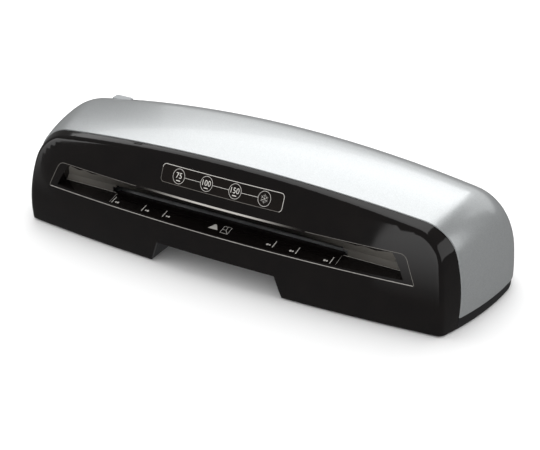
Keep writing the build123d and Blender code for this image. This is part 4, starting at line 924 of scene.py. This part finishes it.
class LAMINATOR_OT_springs(bpy.types.Operator):
    """Wind the four pressure springs over the roller carriage"""
    bl_idname = "laminator.springs"
    bl_label = "Pressure springs"

    def execute(self, context):
        sizes = context.scene.laminator_fittings
        low, high = [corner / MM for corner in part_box("pressure_springs")]
        wire = sizes.spring_wire
        coil = 3.6
        reach = coil + wire
        points = [(x, y, low.z + wire) for x in (low.x + reach, high.x - reach)
                  for y in (low.y + reach, high.y - reach)]
        inputs = {"Height": (high.z - low.z - 2 * wire) * MM, "Coil radius": coil * MM,
                  "Wire radius": wire * MM, "Turns": sizes.spring_turns, "Finish": MATERIALS["bright_steel"]}
        piece = run_tree(spring_tree(), points, "pressure_spring_coils", inputs)
        smooth_by_angle(piece.data, 60)
        place_piece(piece, "pressure_springs")
        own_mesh(piece)
        return {"FINISHED"}


def rib_tree():
    """Half-round grip rib lying along Y on each point."""
    tree = node_group("Grip ribs", {"Length": 0.006, "Rib radius": 0.0005, "Finish": None})
    given = add(tree, "NodeGroupInput").outputs
    rib = add(tree, "GeometryNodeMeshCylinder", {"Vertices": 16}, {"Radius": given["Rib radius"],
              "Depth": given["Length"]})
    laid = add(tree, "GeometryNodeTransform", {"Rotation": (pi / 2, 0, 0)}, {"Geometry": rib.outputs["Mesh"]})
    placed = add(tree, "GeometryNodeInstanceOnPoints", links={"Points": given["Geometry"],
                 "Instance": laid.outputs[0]})
    real = add(tree, "GeometryNodeRealizeInstances", links={"Geometry": placed.outputs[0]})
    coated = add(tree, "GeometryNodeSetMaterial", links={"Geometry": real.outputs[0],
                 "Material": given["Finish"]})
    add(tree, "NodeGroupOutput", links={"Geometry": coated.outputs[0]})
    return tree


class LAMINATOR_OT_grip_ribs(bpy.types.Operator):
    """Mould the grip ribs on the release tab"""
    bl_idname = "laminator.grip_ribs"
    bl_label = "Grip ribs"

    def execute(self, context):
        count = context.scene.laminator_fittings.grip_ribs
        work = bmesh.new()
        work.from_mesh(frame["nodes"]["release_lever"].data)
        top = max(v.co.z for v in work.verts) / MM
        crown = [v.co / MM for v in work.verts if v.co.z / MM > top - 0.5]
        work.free()
        mid_x = (min(c.x for c in crown) + max(c.x for c in crown)) / 2
        mid_y = (min(c.y for c in crown) + max(c.y for c in crown)) / 2
        radius = 0.45
        points = [(mid_x + 2.2 * (i - (count - 1) / 2), mid_y, top - radius) for i in range(count)]
        inputs = {"Length": 5.6 * MM, "Rib radius": radius * MM, "Finish": MATERIALS["lever_grey"]}
        piece = run_tree(rib_tree(), points, "release_tab_ribs", inputs)
        smooth_by_angle(piece.data, 40)
        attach(piece, BODY_OF["release_lever"])
        return {"FINISHED"}


# ---- studio ----------------------------------------------------------------------------------------

CAMERA_PLACE = (0.5008, -0.8710, 0.5694)
CAMERA_YAW = 29.22
CAMERA_PITCH = 28.72
CAMERA_ROLL = 0.16


def area_light(name, place, target, width, height, power):
    data = bpy.data.lights.new(name, "AREA")
    data.shape = "RECTANGLE"
    data.size = width
    data.size_y = height
    data.energy = power
    light = bpy.data.objects.new(name, data)
    light.location = place
    aim = Vector(target) - Vector(place)
    light.rotation_euler = aim.to_track_quat("-Z", "Y").to_euler()
    bpy.context.scene.collection.objects.link(light)
    return light


def fade_downwards(light, dark_until, full_from):
    """Let a card's light die away towards its lower edge."""
    light.data.use_nodes = True
    tree = light.data.node_tree
    tree.nodes.clear()
    place = add(tree, "ShaderNodeNewGeometry")
    apart = add(tree, "ShaderNodeSeparateXYZ", links={0: place.outputs["Parametric"]})
    share = add(tree, "ShaderNodeMapRange", {"From Min": dark_until, "From Max": full_from},
                {"Value": apart.outputs["Y"]}, interpolation_type="SMOOTHSTEP")
    glow = add(tree, "ShaderNodeEmission", links={"Strength": share.outputs["Result"]})
    add(tree, "ShaderNodeOutputLight", links={"Surface": glow.outputs[0]})


class LAMINATOR_OT_studio(bpy.types.Operator):
    """Set the pale floor, the soft lights and the camera"""
    bl_idname = "laminator.studio"
    bl_label = "Studio"

    def execute(self, context):
        scene = context.scene
        studio = scene.laminator_studio
        floor_mesh = bpy.data.meshes.new("studio_floor")
        floor_mesh.from_pydata([(-6, -6, 0), (6, -6, 0), (6, 6, 0), (-6, 6, 0)], [], [(0, 1, 2, 3)])
        floor = bpy.data.objects.new("studio_floor", floor_mesh)
        material, tree, shader = new_material("matt_white_board")
        shader.inputs["Base Color"].default_value = linear("#FAFAFA")
        shader.inputs["Roughness"].default_value = 0.9
        shader.inputs["Specular IOR Level"].default_value = 0.1
        floor_mesh.materials.append(material)
        scene.collection.objects.link(floor)
        floor.visible_glossy = False
        area_light("overhead_softbox", (-0.35, 0.55, 1.25), (-0.15, 0.1, 0.1), 1.7, 1.6, studio.overhead)
        area_light("rear_softbox", (0.0, 1.5, 0.8), (0, 0, 0.05), 2.6, 1.1, studio.rear)
        left = area_light("left_card", (-1.49, -0.77, 0.1), (-0.165, -0.065, 0.1), 0.75, 1.8, studio.side)
        right = area_light("right_card", (0.318, -1.757, -0.1), (0.14, -0.066, -0.1), 1.14, 1.8, studio.side * 1.1)
        for card in (left, right):
            fade_downwards(card, 0.1, 0.95)
        area_light("right_softbox", (1.9, 0.2, 0.9), (0.2, 0, 0.05), 1.2, 1.0, studio.rear * 0.8)
        world = bpy.data.worlds.new("studio")
        world.use_nodes = True
        scene.world = world
        nodes = world.node_tree
        nodes.nodes.clear()
        paths = add(nodes, "ShaderNodeLightPath")
        seen = add(nodes, "ShaderNodeBackground", {"Color": (1, 1, 1, 1), "Strength": 1.0})
        around = add(nodes, "ShaderNodeBackground", {"Color": (1, 1, 1, 1), "Strength": 0.85})
        dim = add(nodes, "ShaderNodeBackground", {"Color": (1, 1, 1, 1), "Strength": 0.18})
        soft = add(nodes, "ShaderNodeMixShader", links={0: paths.outputs["Is Glossy Ray"],
                   1: around.outputs[0], 2: dim.outputs[0]})
        both = add(nodes, "ShaderNodeMixShader", links={0: paths.outputs["Is Camera Ray"],
                   1: soft.outputs[0], 2: seen.outputs[0]})
        add(nodes, "ShaderNodeOutputWorld", links={"Surface": both.outputs[0]})
        scene.view_settings.view_transform = "Standard"
        data = bpy.data.cameras.new("camera")
        data.lens = studio.lens
        data.sensor_width = 36.0
        camera = bpy.data.objects.new("camera", data)
        yaw, pitch = radians(CAMERA_YAW), radians(CAMERA_PITCH)
        back = Vector((sin(yaw) * cos(pitch), -cos(yaw) * cos(pitch), sin(pitch)))
        right = (-back).cross(Vector((0, 0, 1))).normalized()
        up = back.cross(right)
        turn = Matrix((right, up, back)).transposed() @ Matrix.Rotation(radians(CAMERA_ROLL), 3, "Z")
        camera.matrix_world = Matrix.Translation(CAMERA_PLACE) @ turn.to_4x4()
        scene.collection.objects.link(camera)
        scene.camera = camera
        return {"FINISHED"}


class LAMINATOR_PT_panel(bpy.types.Panel):
    """Sizes, colours and steps of the pouch laminator"""
    bl_label = "Pouch laminator"
    bl_idname = "LAMINATOR_PT_panel"
    bl_space_type = "VIEW_3D"
    bl_region_type = "UI"
    bl_category = "Laminator"

    def draw(self, context):
        for name, settings in SETTINGS.items():
            box = self.layout.box()
            for key in settings.__annotations__:
                box.prop(getattr(context.scene, name), key)
        for step in STEPS:
            self.layout.operator(step.bl_idname)


SETTINGS = {"laminator_prints": LaminatorPrints, "laminator_fittings": LaminatorFittings,
            "laminator_colours": LaminatorColours, "laminator_studio": LaminatorStudio}
STEPS = [LAMINATOR_OT_finishes, LAMINATOR_OT_casings, LAMINATOR_OT_key_prints, LAMINATOR_OT_tray_prints,
         LAMINATOR_OT_edges,         LAMINATOR_OT_screws, LAMINATOR_OT_springs, LAMINATOR_OT_grip_ribs, LAMINATOR_OT_studio]


def register():
    for name, settings in SETTINGS.items():
        bpy.utils.register_class(settings)
        setattr(bpy.types.Scene, name, bpy.props.PointerProperty(type=settings))
    for step in STEPS:
        bpy.utils.register_class(step)
    bpy.utils.register_class(LAMINATOR_PT_panel)


def unregister():
    bpy.utils.unregister_class(LAMINATOR_PT_panel)
    for step in reversed(STEPS):
        bpy.utils.unregister_class(step)
    for name, settings in SETTINGS.items():
        delattr(bpy.types.Scene, name)
        bpy.utils.unregister_class(settings)


def main():
    register()
    for step in STEPS:
        group, name = step.bl_idname.split(".")
        getattr(getattr(bpy.ops, group), name)()


if __name__ == "__main__":
    main()
